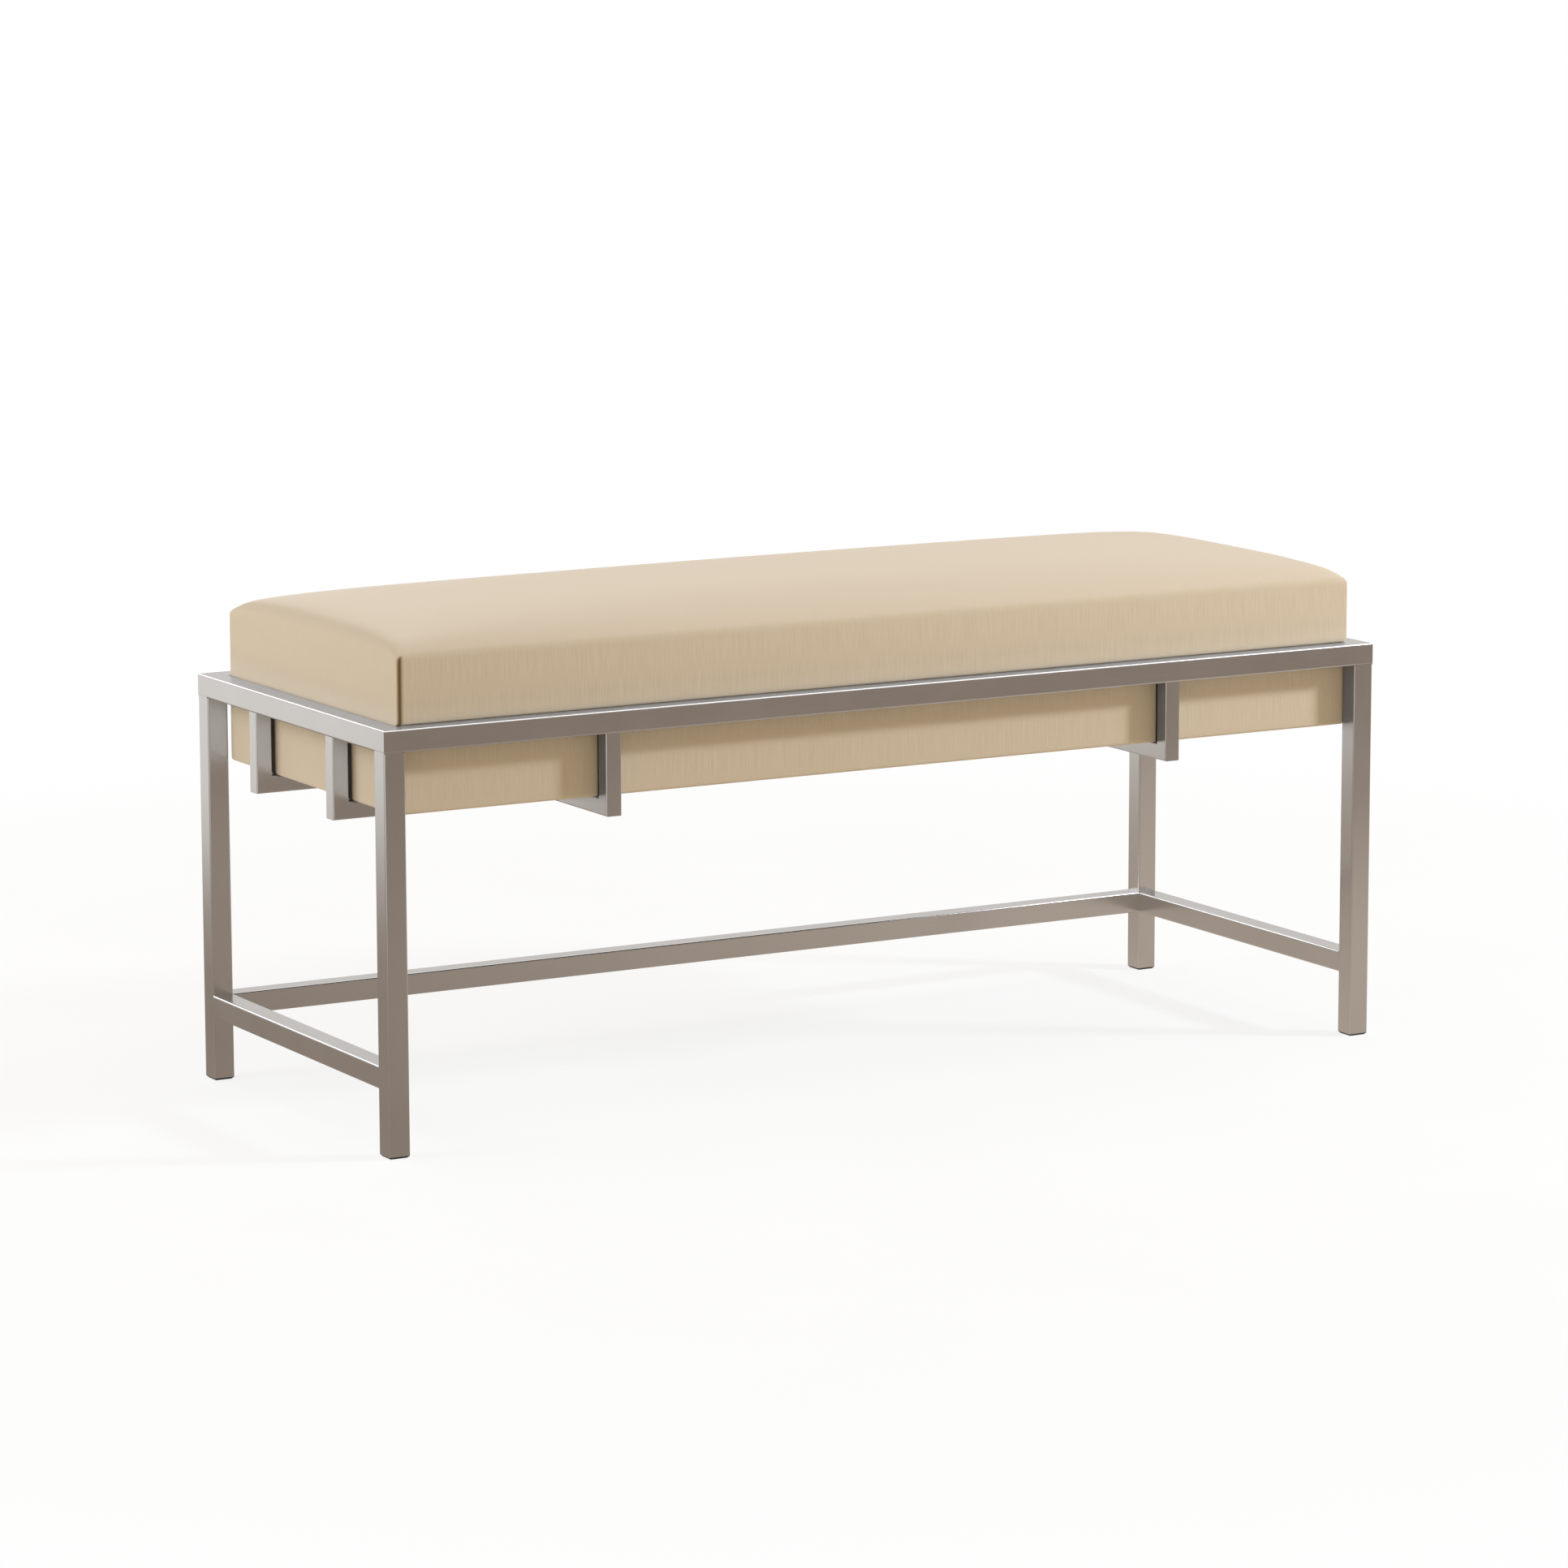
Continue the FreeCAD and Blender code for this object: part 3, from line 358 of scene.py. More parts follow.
class PressedCover:
    """How far the padding moves the cover above the ring, from a cloth simulation of it."""

    def __init__(self):
        columns = 2 * round(HALF_LENGTH / CAGE_STEP) + 1
        rows = 2 * round(HALF_DEPTH / CAGE_STEP) + 1
        self.xs = np.linspace(-HALF_LENGTH, HALF_LENGTH, columns)
        self.ys = np.linspace(-HALF_DEPTH, HALF_DEPTH, rows)
        self.levels = np.linspace(WALL_TOP, RING_TOP, 1 + round((WALL_TOP - RING_TOP) / CAGE_STEP))
        points, faces, rim, last = cage_surface(self.xs, self.ys, self.levels[1:])
        moves = inflated(points, faces, last, rim) - points
        length = np.linalg.norm(moves, axis=1, keepdims=True)
        moves *= np.minimum(1, MOST_MOVE / np.maximum(length, 1e-9))
        self.layers = [moves[:columns * rows].reshape(columns, rows, 3)]
        for number in range(len(self.levels) - 1):
            layer = np.zeros((columns * rows, 3))
            start = columns * rows + number * len(rim)
            layer[rim] = moves[start:start + len(rim)]
            self.layers.append(layer.reshape(columns, rows, 3))

    def at(self, x, y, layer=0):
        """The moves of points of the plain outline, on top or in one row of the sides."""
        total = np.zeros((*np.shape(x), 3))
        step_x, step_y = self.xs[1] - self.xs[0], self.ys[1] - self.ys[0]
        for row, weight in cubic_sample(len(self.xs), self.xs[0], step_x, x):
            for column, other in cubic_sample(len(self.ys), self.ys[0], step_y, y):
                total += self.layers[layer][row, column] * (weight * other)[..., None]
        return total

    def at_side(self, x, y, level):
        """The moves of points of the sides at one level."""
        place = np.interp(-level, -self.levels, np.arange(len(self.levels)))
        above = min(int(place), len(self.levels) - 2)
        share = place - above
        return self.at(x, y, above) * (1 - share) + self.at(x, y, above + 1) * share


def make_cushion():
    """The whole upholstered seat as one closed form, with its seams' painted shade as an attribute.
    """
    pressed = PressedCover()
    near = np.array(EDGE_STEPS) * MM
    xs, ys = (spread(half, near, MESH_STEP) for half in (HALF_LENGTH, HALF_DEPTH))
    grid_x, grid_y = np.meshgrid(xs, ys, indexing="ij")
    top, shade = cushion_points(grid_x, grid_y, crown_level(grid_x, grid_y))
    if pressed:
        top += pressed.at(grid_x, grid_y)
    vertices, shades = [top.reshape(-1, 3)], [shade.reshape(-1)]
    index = np.arange(grid_x.size).reshape(grid_x.shape)
    faces = [grid_faces(index)]

    ring, start = rim_of(index), grid_x.size
    rim_x, rim_y = grid_x.reshape(-1)[ring], grid_y.reshape(-1)[ring]
    for level, inset in wall_rows()[1:]:
        points, shade = cushion_points(rim_x, rim_y, level)
        if pressed and level > RING_TOP:
            points += pressed.at_side(rim_x, rim_y, level)
        points[:, 0] -= rim_x * inset / HALF_LENGTH
        points[:, 1] -= rim_y * inset / HALF_DEPTH
        points[:, 2] -= fold_drop(rim_x, rim_y, inset)
        vertices.append(points)
        shades.append(shade)
        following = np.arange(start, start + len(ring))
        faces.append(band_faces(ring, following))
        ring, start = following, start + len(ring)
    faces = [*np.concatenate(faces), ring[::-1]]
    made = new_object("seat_cushion", np.concatenate(vertices), faces)
    attribute = made.data.attributes.new("seam_shade", "FLOAT", "POINT")
    attribute.data.foreach_set("value", np.concatenate(shades).astype(np.float32))
    return made


# ---- under the seat ------------------------------------------------------------------------------

CLOTH_HALF_LENGTH = HALF_LENGTH - TURN_IN + CLOTH_OVERLAP
CLOTH_HALF_DEPTH = HALF_DEPTH - TURN_IN + CLOTH_OVERLAP
CROSS_BAR_LOW, CROSS_BAR_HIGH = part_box("cradle_cross_bar_right")
END_ARM_LOW, END_ARM_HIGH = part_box("cradle_end_arm_rear_right")


def cloth_levels(x, y):
    """Heights of the dust cloth's two faces: hem, pull at the staples and sag between the bars."""
    inset_x, inset_y = CLOTH_HALF_LENGTH - np.abs(x), CLOTH_HALF_DEPTH - np.abs(y)
    inset = np.minimum(inset_x, inset_y)
    hem = HEM_STEP * (1 - smoothstep(inset, HEM - HEM_BLUR, HEM + HEM_BLUR))
    sag_x = np.clip(1 - (x / (CROSS_BAR_LOW.x - SAG_TO_BAR)) ** 2, 0, 1)
    sag_y = np.clip(1 - (y / (CLOTH_HALF_DEPTH - HEM)) ** 2, 0, 1)
    run = np.where(inset_x < inset_y, y, x)
    pull = STAPLE_PULL * np.cos(2 * math.pi * run / STAPLE_PITCH)
    pull *= np.exp(-((inset / PULL_REACH) ** 2)) * smoothstep(inset, *PULL_START)
    pull *= smoothstep(np.abs(np.abs(x) - CROSS_BAR_LOW.x), *PULL_FROM_BAR)
    low = CLOTH_LEVEL + HEM_STEP - hem - CLOTH_SAG * sag_x * sag_y + pull
    return low, low + hem + CLOTH_THICKNESS


def make_dust_cloth():
    """The black cloth that closes the seat's underside, hemmed all round."""
    near = np.array(HEM_STEPS) * MM
    xs, ys = (spread(half, near, CLOTH_STEP) for half in (CLOTH_HALF_LENGTH, CLOTH_HALF_DEPTH))
    grid_x, grid_y = np.meshgrid(xs, ys, indexing="ij")
    layers = [np.stack([grid_x, grid_y, level], axis=-1).reshape(-1, 3)
              for level in cloth_levels(grid_x, grid_y)]
    count = grid_x.size
    index = np.arange(count).reshape(grid_x.shape)
    lower = grid_faces(index)[:, [0, 3, 2, 1]]  # turned over, so that they look down
    rim = rim_of(index)
    following = np.roll(rim, -1)
    border = np.stack((rim, following, following + count, rim + count), axis=-1)
    faces = [*lower, *(lower[:, ::-1] + count), *border]
    return new_object("dust_cloth", np.concatenate(layers), faces)


def staple_places():
    """Middle and direction of each staple, except where a bar or arm covers the cloth's edge."""
    reach = STAPLE_LENGTH / 2 + STAPLE_CLEARANCE
    places = []
    for along_x in (True, False):
        half, other = CLOTH_HALF_LENGTH, CLOTH_HALF_DEPTH
        covered = CROSS_BAR_LOW.x - reach, CROSS_BAR_HIGH.x + reach
        if not along_x:
            half, other = other, half
            covered = END_ARM_LOW.y - reach, END_ARM_HIGH.y + reach
        count = int((half - STAPLE_INSET - reach) / STAPLE_PITCH)
        for step in range(-count, count + 1):
            run = step * STAPLE_PITCH
            if covered[0] < abs(run) < covered[1]:
                continue
            for across in (STAPLE_INSET - other, other - STAPLE_INSET):
                places.append((Vector((run, across, 0) if along_x else (across, run, 0)), along_x))
    return places


def make_staples():
    """Wire staples along the dust cloth's edges, each a bridge whose ends bite into the cloth."""
    # Shares of the staple's length with their depth in wires, and the wire's own six corners.
    lengthwise = ((-0.5, 1.4), (-0.48, 0.5), (-0.43, 0.0), (0.43, 0.0), (0.48, 0.5), (0.5, 1.4))
    section = ((-0.5, 0.0), (-0.35, -0.5), (0.35, -0.5), (0.5, 0.0), (0.35, 0.5), (-0.35, 0.5))
    vertices, faces = [], []
    for middle, along_x in staple_places():
        start = len(vertices)
        run, across = Vector((1, 0, 0)), Vector((0, 1, 0))
        if not along_x:
            run, across = across, -run
        for share, depth in lengthwise:
            for wide, high in section:
                point = middle + run * share * STAPLE_LENGTH + across * wide * STAPLE_WIDTH
                point.z = CLOTH_LEVEL + STAPLE_WIRE * (depth + high - STAPLE_SUNK)
                vertices.append(point)
        faces += tube_faces(start, len(lengthwise), len(section))
    return new_object("dust_cloth_staples", vertices, faces)


def screw_rings():
    """Outline of a screw from its tip to its socket: if it is a hexagon, its radius and level."""
    low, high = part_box("seat_screws")
    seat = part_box("seat_washers")[0].z
    rim = seat - HEAD_RIM
    rings = [(False, SHANK_RADIUS, high.z), (False, SHANK_RADIUS, seat)]
    rings += [(False, HEAD_RADIUS, seat), (False, HEAD_RADIUS, rim)]
    for degrees in (20, 40, 60, 75):
        angle = math.radians(degrees)
        radius = HEAD_RADIUS - HEAD_DOME * (1 - math.cos(angle))
        rings.append((False, radius, rim - (rim - low.z) * math.sin(angle)))
    rings.append((False, HEAD_FLAT, low.z))
    rings.append((True, SOCKET_RADIUS + SOCKET_BEVEL[0], low.z))
    rings.append((True, SOCKET_RADIUS, low.z + SOCKET_BEVEL[1]))
    rings.append((True, SOCKET_RADIUS, low.z + SOCKET_DEPTH))
    rings.append((True, SOCKET_TIP[0], low.z + SOCKET_TIP[1]))
    return rings


def make_screws():
    """The seat's four socket button-head screws, which show from below."""
    rings = screw_rings()
    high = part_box("seat_screws")[1]
    vertices, faces = [], []
    for side_x, side_y in ((-1, -1), (1, -1), (1, 1), (-1, 1)):
        start = len(vertices)
        for is_hexagon, radius, level in rings:
            for n in range(HEAD_SIDES):
                angle = 2 * math.pi * n / HEAD_SIDES
                reach = radius
                if is_hexagon:
                    reach /= math.cos((angle + math.pi / 6) % (math.pi / 3) - math.pi / 6)
                x = side_x * (high.x - HEAD_RADIUS) + reach * math.cos(angle)
                y = side_y * (high.y - HEAD_RADIUS) + reach * math.sin(angle)
                vertices.append((x, y, level))
        faces += tube_faces(start, len(rings), HEAD_SIDES)
    made = new_object("seat_screw_heads", vertices, faces)
    made.data.set_sharp_from_angle(angle=math.radians(35))
    return made


# ---- materials -----------------------------------------------------------------------------------

STEEL_DARK = (0.630, 0.612, 0.595)
STEEL_PALE = (0.675, 0.660, 0.645)
# The edge colour is partly wear and partly a painted highlight.
STEEL_WORN_AND_HIGHLIGHT = (0.76, 0.75, 0.74)
BRUSHED_ACROSS, BRUSHED_ALONG = 2600.0, 40.0
FABRIC_DARK = (0.510, 0.420, 0.303)
FABRIC_PALE = (0.655, 0.568, 0.440)
FABRIC_CAST = (0.592, 0.495, 0.373)
# Painted light on the cloth just above the ring.
FABRIC_PAINTED_RING_LIGHT = (0.690, 0.600, 0.465)
# Painted shade in and beside the seams' grooves.
SEAM_PAINTED_SHADE = (0.19, 0.115, 0.035)
# Painted shade in the narrow gaps behind the posts.
POST_GAP_PAINTED_SHADE = (0.012, 0.011, 0.010)
# Painted reflection colours of the cloth; the skirts' dim grey is painted shade.
MIRRORED_SKIRT = (0.30, 0.31, 0.33)
MIRRORED_SEAT = (0.56, 0.56, 0.56)
RIB_TONE = 0.24               # half the range of tone from the darkest rib to the palest
RING_LIGHT_HEIGHT = 25.0 * MM     # painted light from the ring reaches up to this height over it


def add_node(tree, kind, inputs=None, **settings):
    """A node with its settings and inputs. An input is a constant or another node's socket."""
    made = tree.nodes.new(kind)
    for name, value in settings.items():
        setattr(made, name, value)
    for name, value in (inputs or {}).items():
        if isinstance(value, bpy.types.NodeSocket):
            tree.links.new(value, made.inputs[name])
        else:
            made.inputs[name].default_value = value
    return made


def maths(tree, operation, first, second=0.0):
    return add_node(tree, "ShaderNodeMath", {0: first, 1: second}, operation=operation).outputs[0]


def weighted(tree, *terms):
    """Sum of (socket, weight) pairs."""
    total = maths(tree, "MULTIPLY", *terms[0])
    for socket, weight in terms[1:]:
        total = maths(tree, "ADD", total, maths(tree, "MULTIPLY", socket, weight))
    return total


def stretched(tree, vector, scale):
    inputs = {0: vector, 1: scale}
    return add_node(tree, "ShaderNodeVectorMath", inputs, operation="MULTIPLY").outputs[0]


def object_place(tree):
    """The point's place in the CAD frame: every piece's origin is the frame's."""
    return add_node(tree, "ShaderNodeTexCoord").outputs["Object"]


def noise_at(tree, vector, scale=1.0, detail=2.0, roughness=0.5):
    inputs = {"Vector": vector, "Scale": scale, "Detail": detail, "Roughness": roughness}
    return add_node(tree, "ShaderNodeTexNoise", inputs).outputs["Fac"]


def ramp(tree, value, low, high, to_low=0.0, to_high=1.0, smooth=False):
    inputs = {"Value": value, "From Min": low, "From Max": high, "To Min": to_low,
              "To Max": to_high}
    kind = "SMOOTHSTEP" if smooth else "LINEAR"
    return add_node(tree, "ShaderNodeMapRange", inputs, interpolation_type=kind).outputs["Result"]


def mix_colours(tree, share, first, second):
    made = add_node(tree, "ShaderNodeMix", data_type="RGBA")
    for number, value in ((0, share), (6, first), (7, second)):
        socket = made.inputs[number]
        if isinstance(value, bpy.types.NodeSocket):
            tree.links.new(value, socket)
        else:
            socket.default_value = value if isinstance(value, float) else (*value, 1.0)
    return made.outputs[2]


def normal_parts(tree):
    """The absolute parts of the surface's own normal along X, Y and Z."""
    normal = add_node(tree, "ShaderNodeNewGeometry").outputs["Normal"]
    absolute = add_node(tree, "ShaderNodeVectorMath", {0: normal}, operation="ABSOLUTE").outputs[0]
    return add_node(tree, "ShaderNodeSeparateXYZ", {0: absolute}).outputs


def new_material(name):
    material = bpy.data.materials.new(name)
    material.use_nodes = True
    material.node_tree.nodes.clear()
    return material, material.node_tree


def finish_material(tree, constants, linked, height, depth, strength):
    """A Principled surface, with a relief of that height map over a depth in metres."""
    surface = add_node(tree, "ShaderNodeBsdfPrincipled", constants)
    for name, socket in linked.items():
        tree.links.new(socket, surface.inputs[name])
    inputs = {"Height": height, "Distance": depth, "Strength": strength}
    relief = add_node(tree, "ShaderNodeBump", inputs)
    tree.links.new(relief.outputs["Normal"], surface.inputs["Normal"])
    output = add_node(tree, "ShaderNodeOutputMaterial")
    tree.links.new(surface.outputs[0], output.inputs["Surface"])


def satin_metal(name, along):
    """Satin steel tube, finely brushed along one axis; its edges more polished, with a painted
    highlight.
    """
    material, tree = new_material(name)
    scale = tuple(BRUSHED_ALONG if axis == along else BRUSHED_ACROSS for axis in "xyz")
    streaks = noise_at(tree, stretched(tree, object_place(tree), scale), detail=3.0, roughness=0.6)
    clouds = noise_at(tree, object_place(tree), 9.0, 3.0)
    facing = normal_parts(tree)
    widest = maths(tree, "MAXIMUM", facing["X"], maths(tree, "MAXIMUM", facing["Y"], facing["Z"]))
    edge = ramp(tree, widest, 0.98, 0.85, smooth=True)
    shade = weighted(tree, (streaks, 0.45), (clouds, 0.55))
    colour = mix_colours(tree, ramp(tree, shade, 0.35, 0.65), STEEL_DARK, STEEL_PALE)
    # The paler edges are partly wear and partly a painted highlight.
    colour = mix_colours(tree, maths(tree, "MULTIPLY", edge, 0.5), colour, STEEL_WORN_AND_HIGHLIGHT)
    rough = weighted(tree, (streaks, 0.12), (clouds, 0.10), (edge, -0.04))
    rough = maths(tree, "ADD", rough, 0.12)
    finish_material(tree, {"Metallic": 1.0}, {"Base Color": colour, "Roughness": rough},
                    streaks, 0.01 * MM, 0.15)
    return material


def strip(tree, across, middle, half_width, share):
    """A share in two strips, at the same distance to both sides of zero, and 0 elsewhere."""
    away = maths(tree, "SUBTRACT", maths(tree, "ABSOLUTE", across), middle)
    away = maths(tree, "ABSOLUTE", away)
    near = ramp(tree, away, half_width + STRIP_BLUR, half_width - STRIP_BLUR, smooth=True)
    return maths(tree, "MULTIPLY", near, share)


def ribbed_fabric():
    """Beige upholstery with fine irregular ribs that run up the sides and across the top."""
    material, tree = new_material("ribbed_fabric")
    place = object_place(tree)
    parts = add_node(tree, "ShaderNodeSeparateXYZ", {0: place}).outputs
    facing = normal_parts(tree)
    on_ends = ramp(tree, facing["X"], 0.55, 0.85, smooth=True)
    on_faces = ramp(tree, facing["Y"], 0.45, 0.90, smooth=True)
    along = maths(tree, "SUBTRACT", parts["Z"], maths(tree, "ABSOLUTE", parts["Y"]))

    def woven(scale_across, scale_along, detail):
        """Noise of the cloth, stretched along its ribs, which lie side by side in X or Y."""
        noises = []
        for across in (parts["X"], parts["Y"]):
            cloth = add_node(tree, "ShaderNodeCombineXYZ", {0: across, 1: along}).outputs[0]
            cloth = stretched(tree, cloth, (scale_across, scale_along, 1.0))
            noises.append(noise_at(tree, cloth, detail=detail, roughness=0.6))
        inputs = {0: on_ends, 2: noises[0], 3: noises[1]}
        return add_node(tree, "ShaderNodeMix", inputs, data_type="FLOAT").outputs[0]

    ribs, threads = woven(1000.0, 26.0, 2.0), woven(1900.0, 1100.0, 1.0)
    cast = noise_at(tree, place, 14.0, 4.0)
    # The ribs show on the upright faces and little on top.
    show = maths(tree, "ADD", weighted(tree, (on_faces, 0.75), (on_ends, 0.15)), 0.25)
    tone = maths(tree, "SUBTRACT", weighted(tree, (ribs, 0.62), (threads, 0.38)), 0.5)
    tone = maths(tree, "MULTIPLY", tone, show)
    colour = mix_colours(tree, ramp(tree, tone, -RIB_TONE, RIB_TONE), FABRIC_DARK, FABRIC_PALE)
    colour = mix_colours(tree, ramp(tree, cast, 0.3, 0.7, 0.0, 0.30), colour, FABRIC_CAST)
    # Painted light: the cloth just over the ring is painted paler, for the light the polished tube
    # throws on it.
    above_ring = ramp(tree, parts["Z"], RING_TOP - 3 * MM, RING_TOP, smooth=True)
    ring_light = ramp(tree, parts["Z"], RING_TOP + RING_LIGHT_HEIGHT, RING_TOP, 0.0, 0.5, smooth=True)
    ring_light = maths(tree, "MULTIPLY", ring_light, above_ring)
    colour = mix_colours(tree, ring_light, colour, FABRIC_PAINTED_RING_LIGHT)
    # Painted shade: the seams are painted dark brown in and beside their grooves.
    seam = add_node(tree, "ShaderNodeAttribute", attribute_name="seam_shade").outputs["Fac"]
    seam_shade_share = ramp(tree, seam, 0.0, 1.0, 0.0, 0.92, smooth=True)
    colour = mix_colours(tree, seam_shade_share, colour, SEAM_PAINTED_SHADE)
    # Painted shade: below the ring, the cloth in the narrow gap behind each post is painted near
    # black.
    end_post = (END_ARM_LOW.y + END_ARM_HIGH.y) / 2
    post = (CROSS_BAR_LOW.x + CROSS_BAR_HIGH.x) / 2
    behind_end_post = strip(tree, parts["Y"], end_post, BEHIND_END_POST, on_ends)
    behind_post = strip(tree, parts["X"], post, BEHIND_POST, on_faces)
    post_gap_shade = maths(tree, "MAXIMUM", behind_end_post, behind_post)
    post_gap_shade = maths(tree, "MULTIPLY", post_gap_shade, maths(tree, "SUBTRACT", 1.0, above_ring))
    colour = mix_colours(tree, post_gap_shade, colour, POST_GAP_PAINTED_SHADE)
    # Painted reflection: the metal beside the seat mirrors the cloth as a neutral grey, and the
    # long skirts as a dim grey that is painted shade.
    lighter = maths(tree, "MAXIMUM", on_ends, above_ring)
    mirrored = mix_colours(tree, lighter, MIRRORED_SKIRT, MIRRORED_SEAT)
    glossy = add_node(tree, "ShaderNodeLightPath").outputs["Is Glossy Ray"]
    colour = mix_colours(tree, glossy, colour, mirrored)
    height = maths(tree, "MULTIPLY", weighted(tree, (ribs, 0.6), (threads, 0.4)), show)
    constants = {"Roughness": 0.9, "Specular IOR Level": 0.2, "Sheen Weight": 0.35,
                 "Sheen Roughness": 0.45, "Sheen Tint": (1.0, 0.95, 0.93, 1.0)}
    finish_material(tree, constants, {"Base Color": colour}, height, 0.5 * MM, 0.5)
    return material


def moulded_nylon():
    """Black plastic with the fine grain of its mould."""
    material, tree = new_material("black_nylon")
    grain = noise_at(tree, object_place(tree), 1400.0, 3.0)
    colour = mix_colours(tree, grain, (0.012, 0.012, 0.013), (0.030, 0.030, 0.031))
    rough = ramp(tree, grain, 0.2, 0.8, 0.42, 0.62)
    finish_material(tree, {}, {"Base Color": colour, "Roughness": rough}, grain, 0.05 * MM, 0.5)
    return material


def plated_steel():
    """Zinc plating, cloudy from blue to yellow."""
    material, tree = new_material("zinc_plated_steel")
    clouds = noise_at(tree, object_place(tree), 260.0, 4.0)
    colour = mix_colours(tree, ramp(tree, clouds, 0.3, 0.7), (0.50, 0.52, 0.55), (0.68, 0.68, 0.66))
    rough = ramp(tree, clouds, 0.3, 0.7, 0.25, 0.45)
    finish_material(tree, {"Metallic": 1.0}, {"Base Color": colour, "Roughness": rough},
                    clouds, 0.02 * MM, 0.4)
    return material


def sawn_wood(name, light, dark):
    """Pale wood with its grain along X."""
    material, tree = new_material(name)
    place = object_place(tree)
    grain = noise_at(tree, stretched(tree, place, (6.0, 160.0, 160.0)), detail=5.0, roughness=0.6)
    rings = noise_at(tree, stretched(tree, place, (2.0, 30.0, 30.0)))
    shade = weighted(tree, (grain, 0.6), (rings, 0.4))
    colour = mix_colours(tree, ramp(tree, shade, 0.3, 0.7), dark, light)
    rough = ramp(tree, grain, 0.3, 0.7, 0.65, 0.85)
    finish_material(tree, {}, {"Base Color": colour, "Roughness": rough}, grain, 0.2 * MM, 0.6)
    return material


def spunbond_cloth():
    """Black spun-bonded cloth: short fibres pressed together in a fine dotted pattern."""
    material, tree = new_material("black_cambric")
    place = object_place(tree)
    fibres = noise_at(tree, place, 900.0, 6.0, 0.7)
    dots = add_node(tree, "ShaderNodeTexVoronoi", {"Vector": place, "Scale": 620.0})
    height = weighted(tree, (fibres, 1.0), (dots.outputs["Distance"], 0.6))
    shade = ramp(tree, height, 0.4, 1.0)
    colour = mix_colours(tree, shade, (0.010, 0.010, 0.011), (0.038, 0.038, 0.040))
    rough = ramp(tree, fibres, 0.3, 0.7, 0.85, 0.97)
    finish_material(tree, {"Sheen Weight": 0.2}, {"Base Color": colour, "Roughness": rough},
                    height, 0.2 * MM, 0.6)
    return material


def dress(piece, material):
    """Gives a piece one material, in place of what it has."""
    piece.data.materials.clear()
    piece.data.materials.append(material)


STEEL = {axis: satin_metal(f"satin_steel_{axis}", axis) for axis in "xyz"}
ZINC = plated_steel()
PLYWOOD = sawn_wood("birch_plywood", (0.66, 0.50, 0.32), (0.52, 0.37, 0.21))
PINE = sawn_wood("sawn_pine", (0.72, 0.54, 0.33), (0.58, 0.39, 0.20))
# The material of each CAD node that stays, by the start of its name.
NODE_MATERIALS = {
    "top_rail_front": STEEL["x"], "top_rail_rear": STEEL["x"], "stretcher_rear": STEEL["x"],
    "cradle_end_arm": STEEL["x"], "top_rail_left": STEEL["y"], "top_rail_right": STEEL["y"],
    "stretcher_left": STEEL["y"], "stretcher_right": STEEL["y"], "cradle_cross_bar": STEEL["y"],
    "leg": STEEL["z"], "cradle_post": STEEL["z"], "cradle_end_post": STEEL["z"],
    "frame_welds": STEEL["z"], "foot_glide": moulded_nylon(), "seat_washers": ZINC,
    "seat_tee_nuts": ZINC, "seat_base_panel": PLYWOOD, "seat_deck": PLYWOOD, "seat_board": PINE,
    "seat_rib": PINE, "seat_corner_blocks": PINE,
}

for node_name, node_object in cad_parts.items():
    for start, node_material in NODE_MATERIALS.items():
        if node_name.startswith(start):
            dress(node_object, node_material)


def add_piece(piece, material, slot, *nodes):
    """Dresses a piece, lets it ride on the bench and hides the CAD nodes it stands for."""
    dress(piece, material)
    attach(piece, "root")
    if nodes:
        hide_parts(*nodes)
    return piece


UPHOLSTERY = "seat_cover", "batting_wrap", "foam_core"
cushion = add_piece(make_cushion(), ribbed_fabric(), "beige_fabric", *UPHOLSTERY)
dust_cloth = add_piece(make_dust_cloth(), spunbond_cloth(), "black_cambric", "dust_cover")
add_piece(make_staples(), ZINC, "zinc_plated_steel")
add_piece(make_screws(), ZINC, "zinc_plated_steel", "seat_screws")

# ---- studio --------------------------------------------------------------------------------------

WHITE = (1.0, 1.0, 1.0)
FLOOR_PAINT_DARK = (0.80, 0.79, 0.77)
FLOOR_PAINT_PALE = (0.86, 0.855, 0.85)
FLOOR_HALF = 9.0              # half the floor's side, in metres
SHADOW_SHARE = 0.16           # how much of its shadow the floor shows near the bench,
SHADOW_FADES = (0.8, 2.4)     # and over which distances from the middle that fades out
# What the metal mirrors of the studio: pale all round, darker and warm at the front right, and
# a floor that is darker near the bench, as a painted shadow of it.
DARK_WAY = (0.495, -0.869, 0.0)
DARK_SIDE = (0.305, 0.250, 0.211)
PALE_SIDE = (0.720, 0.703, 0.688)
CEILING = (0.42, 0.42, 0.42)
FAR_FLOOR = (0.940, 0.925, 0.905)
NEAR_FLOOR_LEFT = (0.340, 0.284, 0.240)
NEAR_FLOOR_RIGHT = (0.620, 0.538, 0.465)
FLOOR_BOUNCE = (0.840, 0.765, 0.650)
COOL = (0.85, 0.908, 1.00)
WARM_AMBIENT = (0.490, 0.416, 0.310)
SEAT_MIDDLE = (0.0, 0.0, 0.42)


def length_of(tree, vector):
    return add_node(tree, "ShaderNodeVectorMath", {0: vector}, operation="LENGTH").outputs["Value"]


def mix_shaders(tree, share, first, second):
    return add_node(tree, "ShaderNodeMixShader", {0: share, 1: first, 2: second}).outputs[0]


def darkness(tree, vector):
    """From 0 for a vector to the pale side of the studio to 1 for one to the dark side."""
    way = add_node(tree, "ShaderNodeVectorMath", {0: vector}, operation="NORMALIZE")
    inputs = {0: way.outputs["Vector"], 1: DARK_WAY}
    toward = add_node(tree, "ShaderNodeVectorMath", inputs, operation="DOT_PRODUCT")
    return ramp(tree, toward.outputs["Value"], 0.15, 0.8, smooth=True)


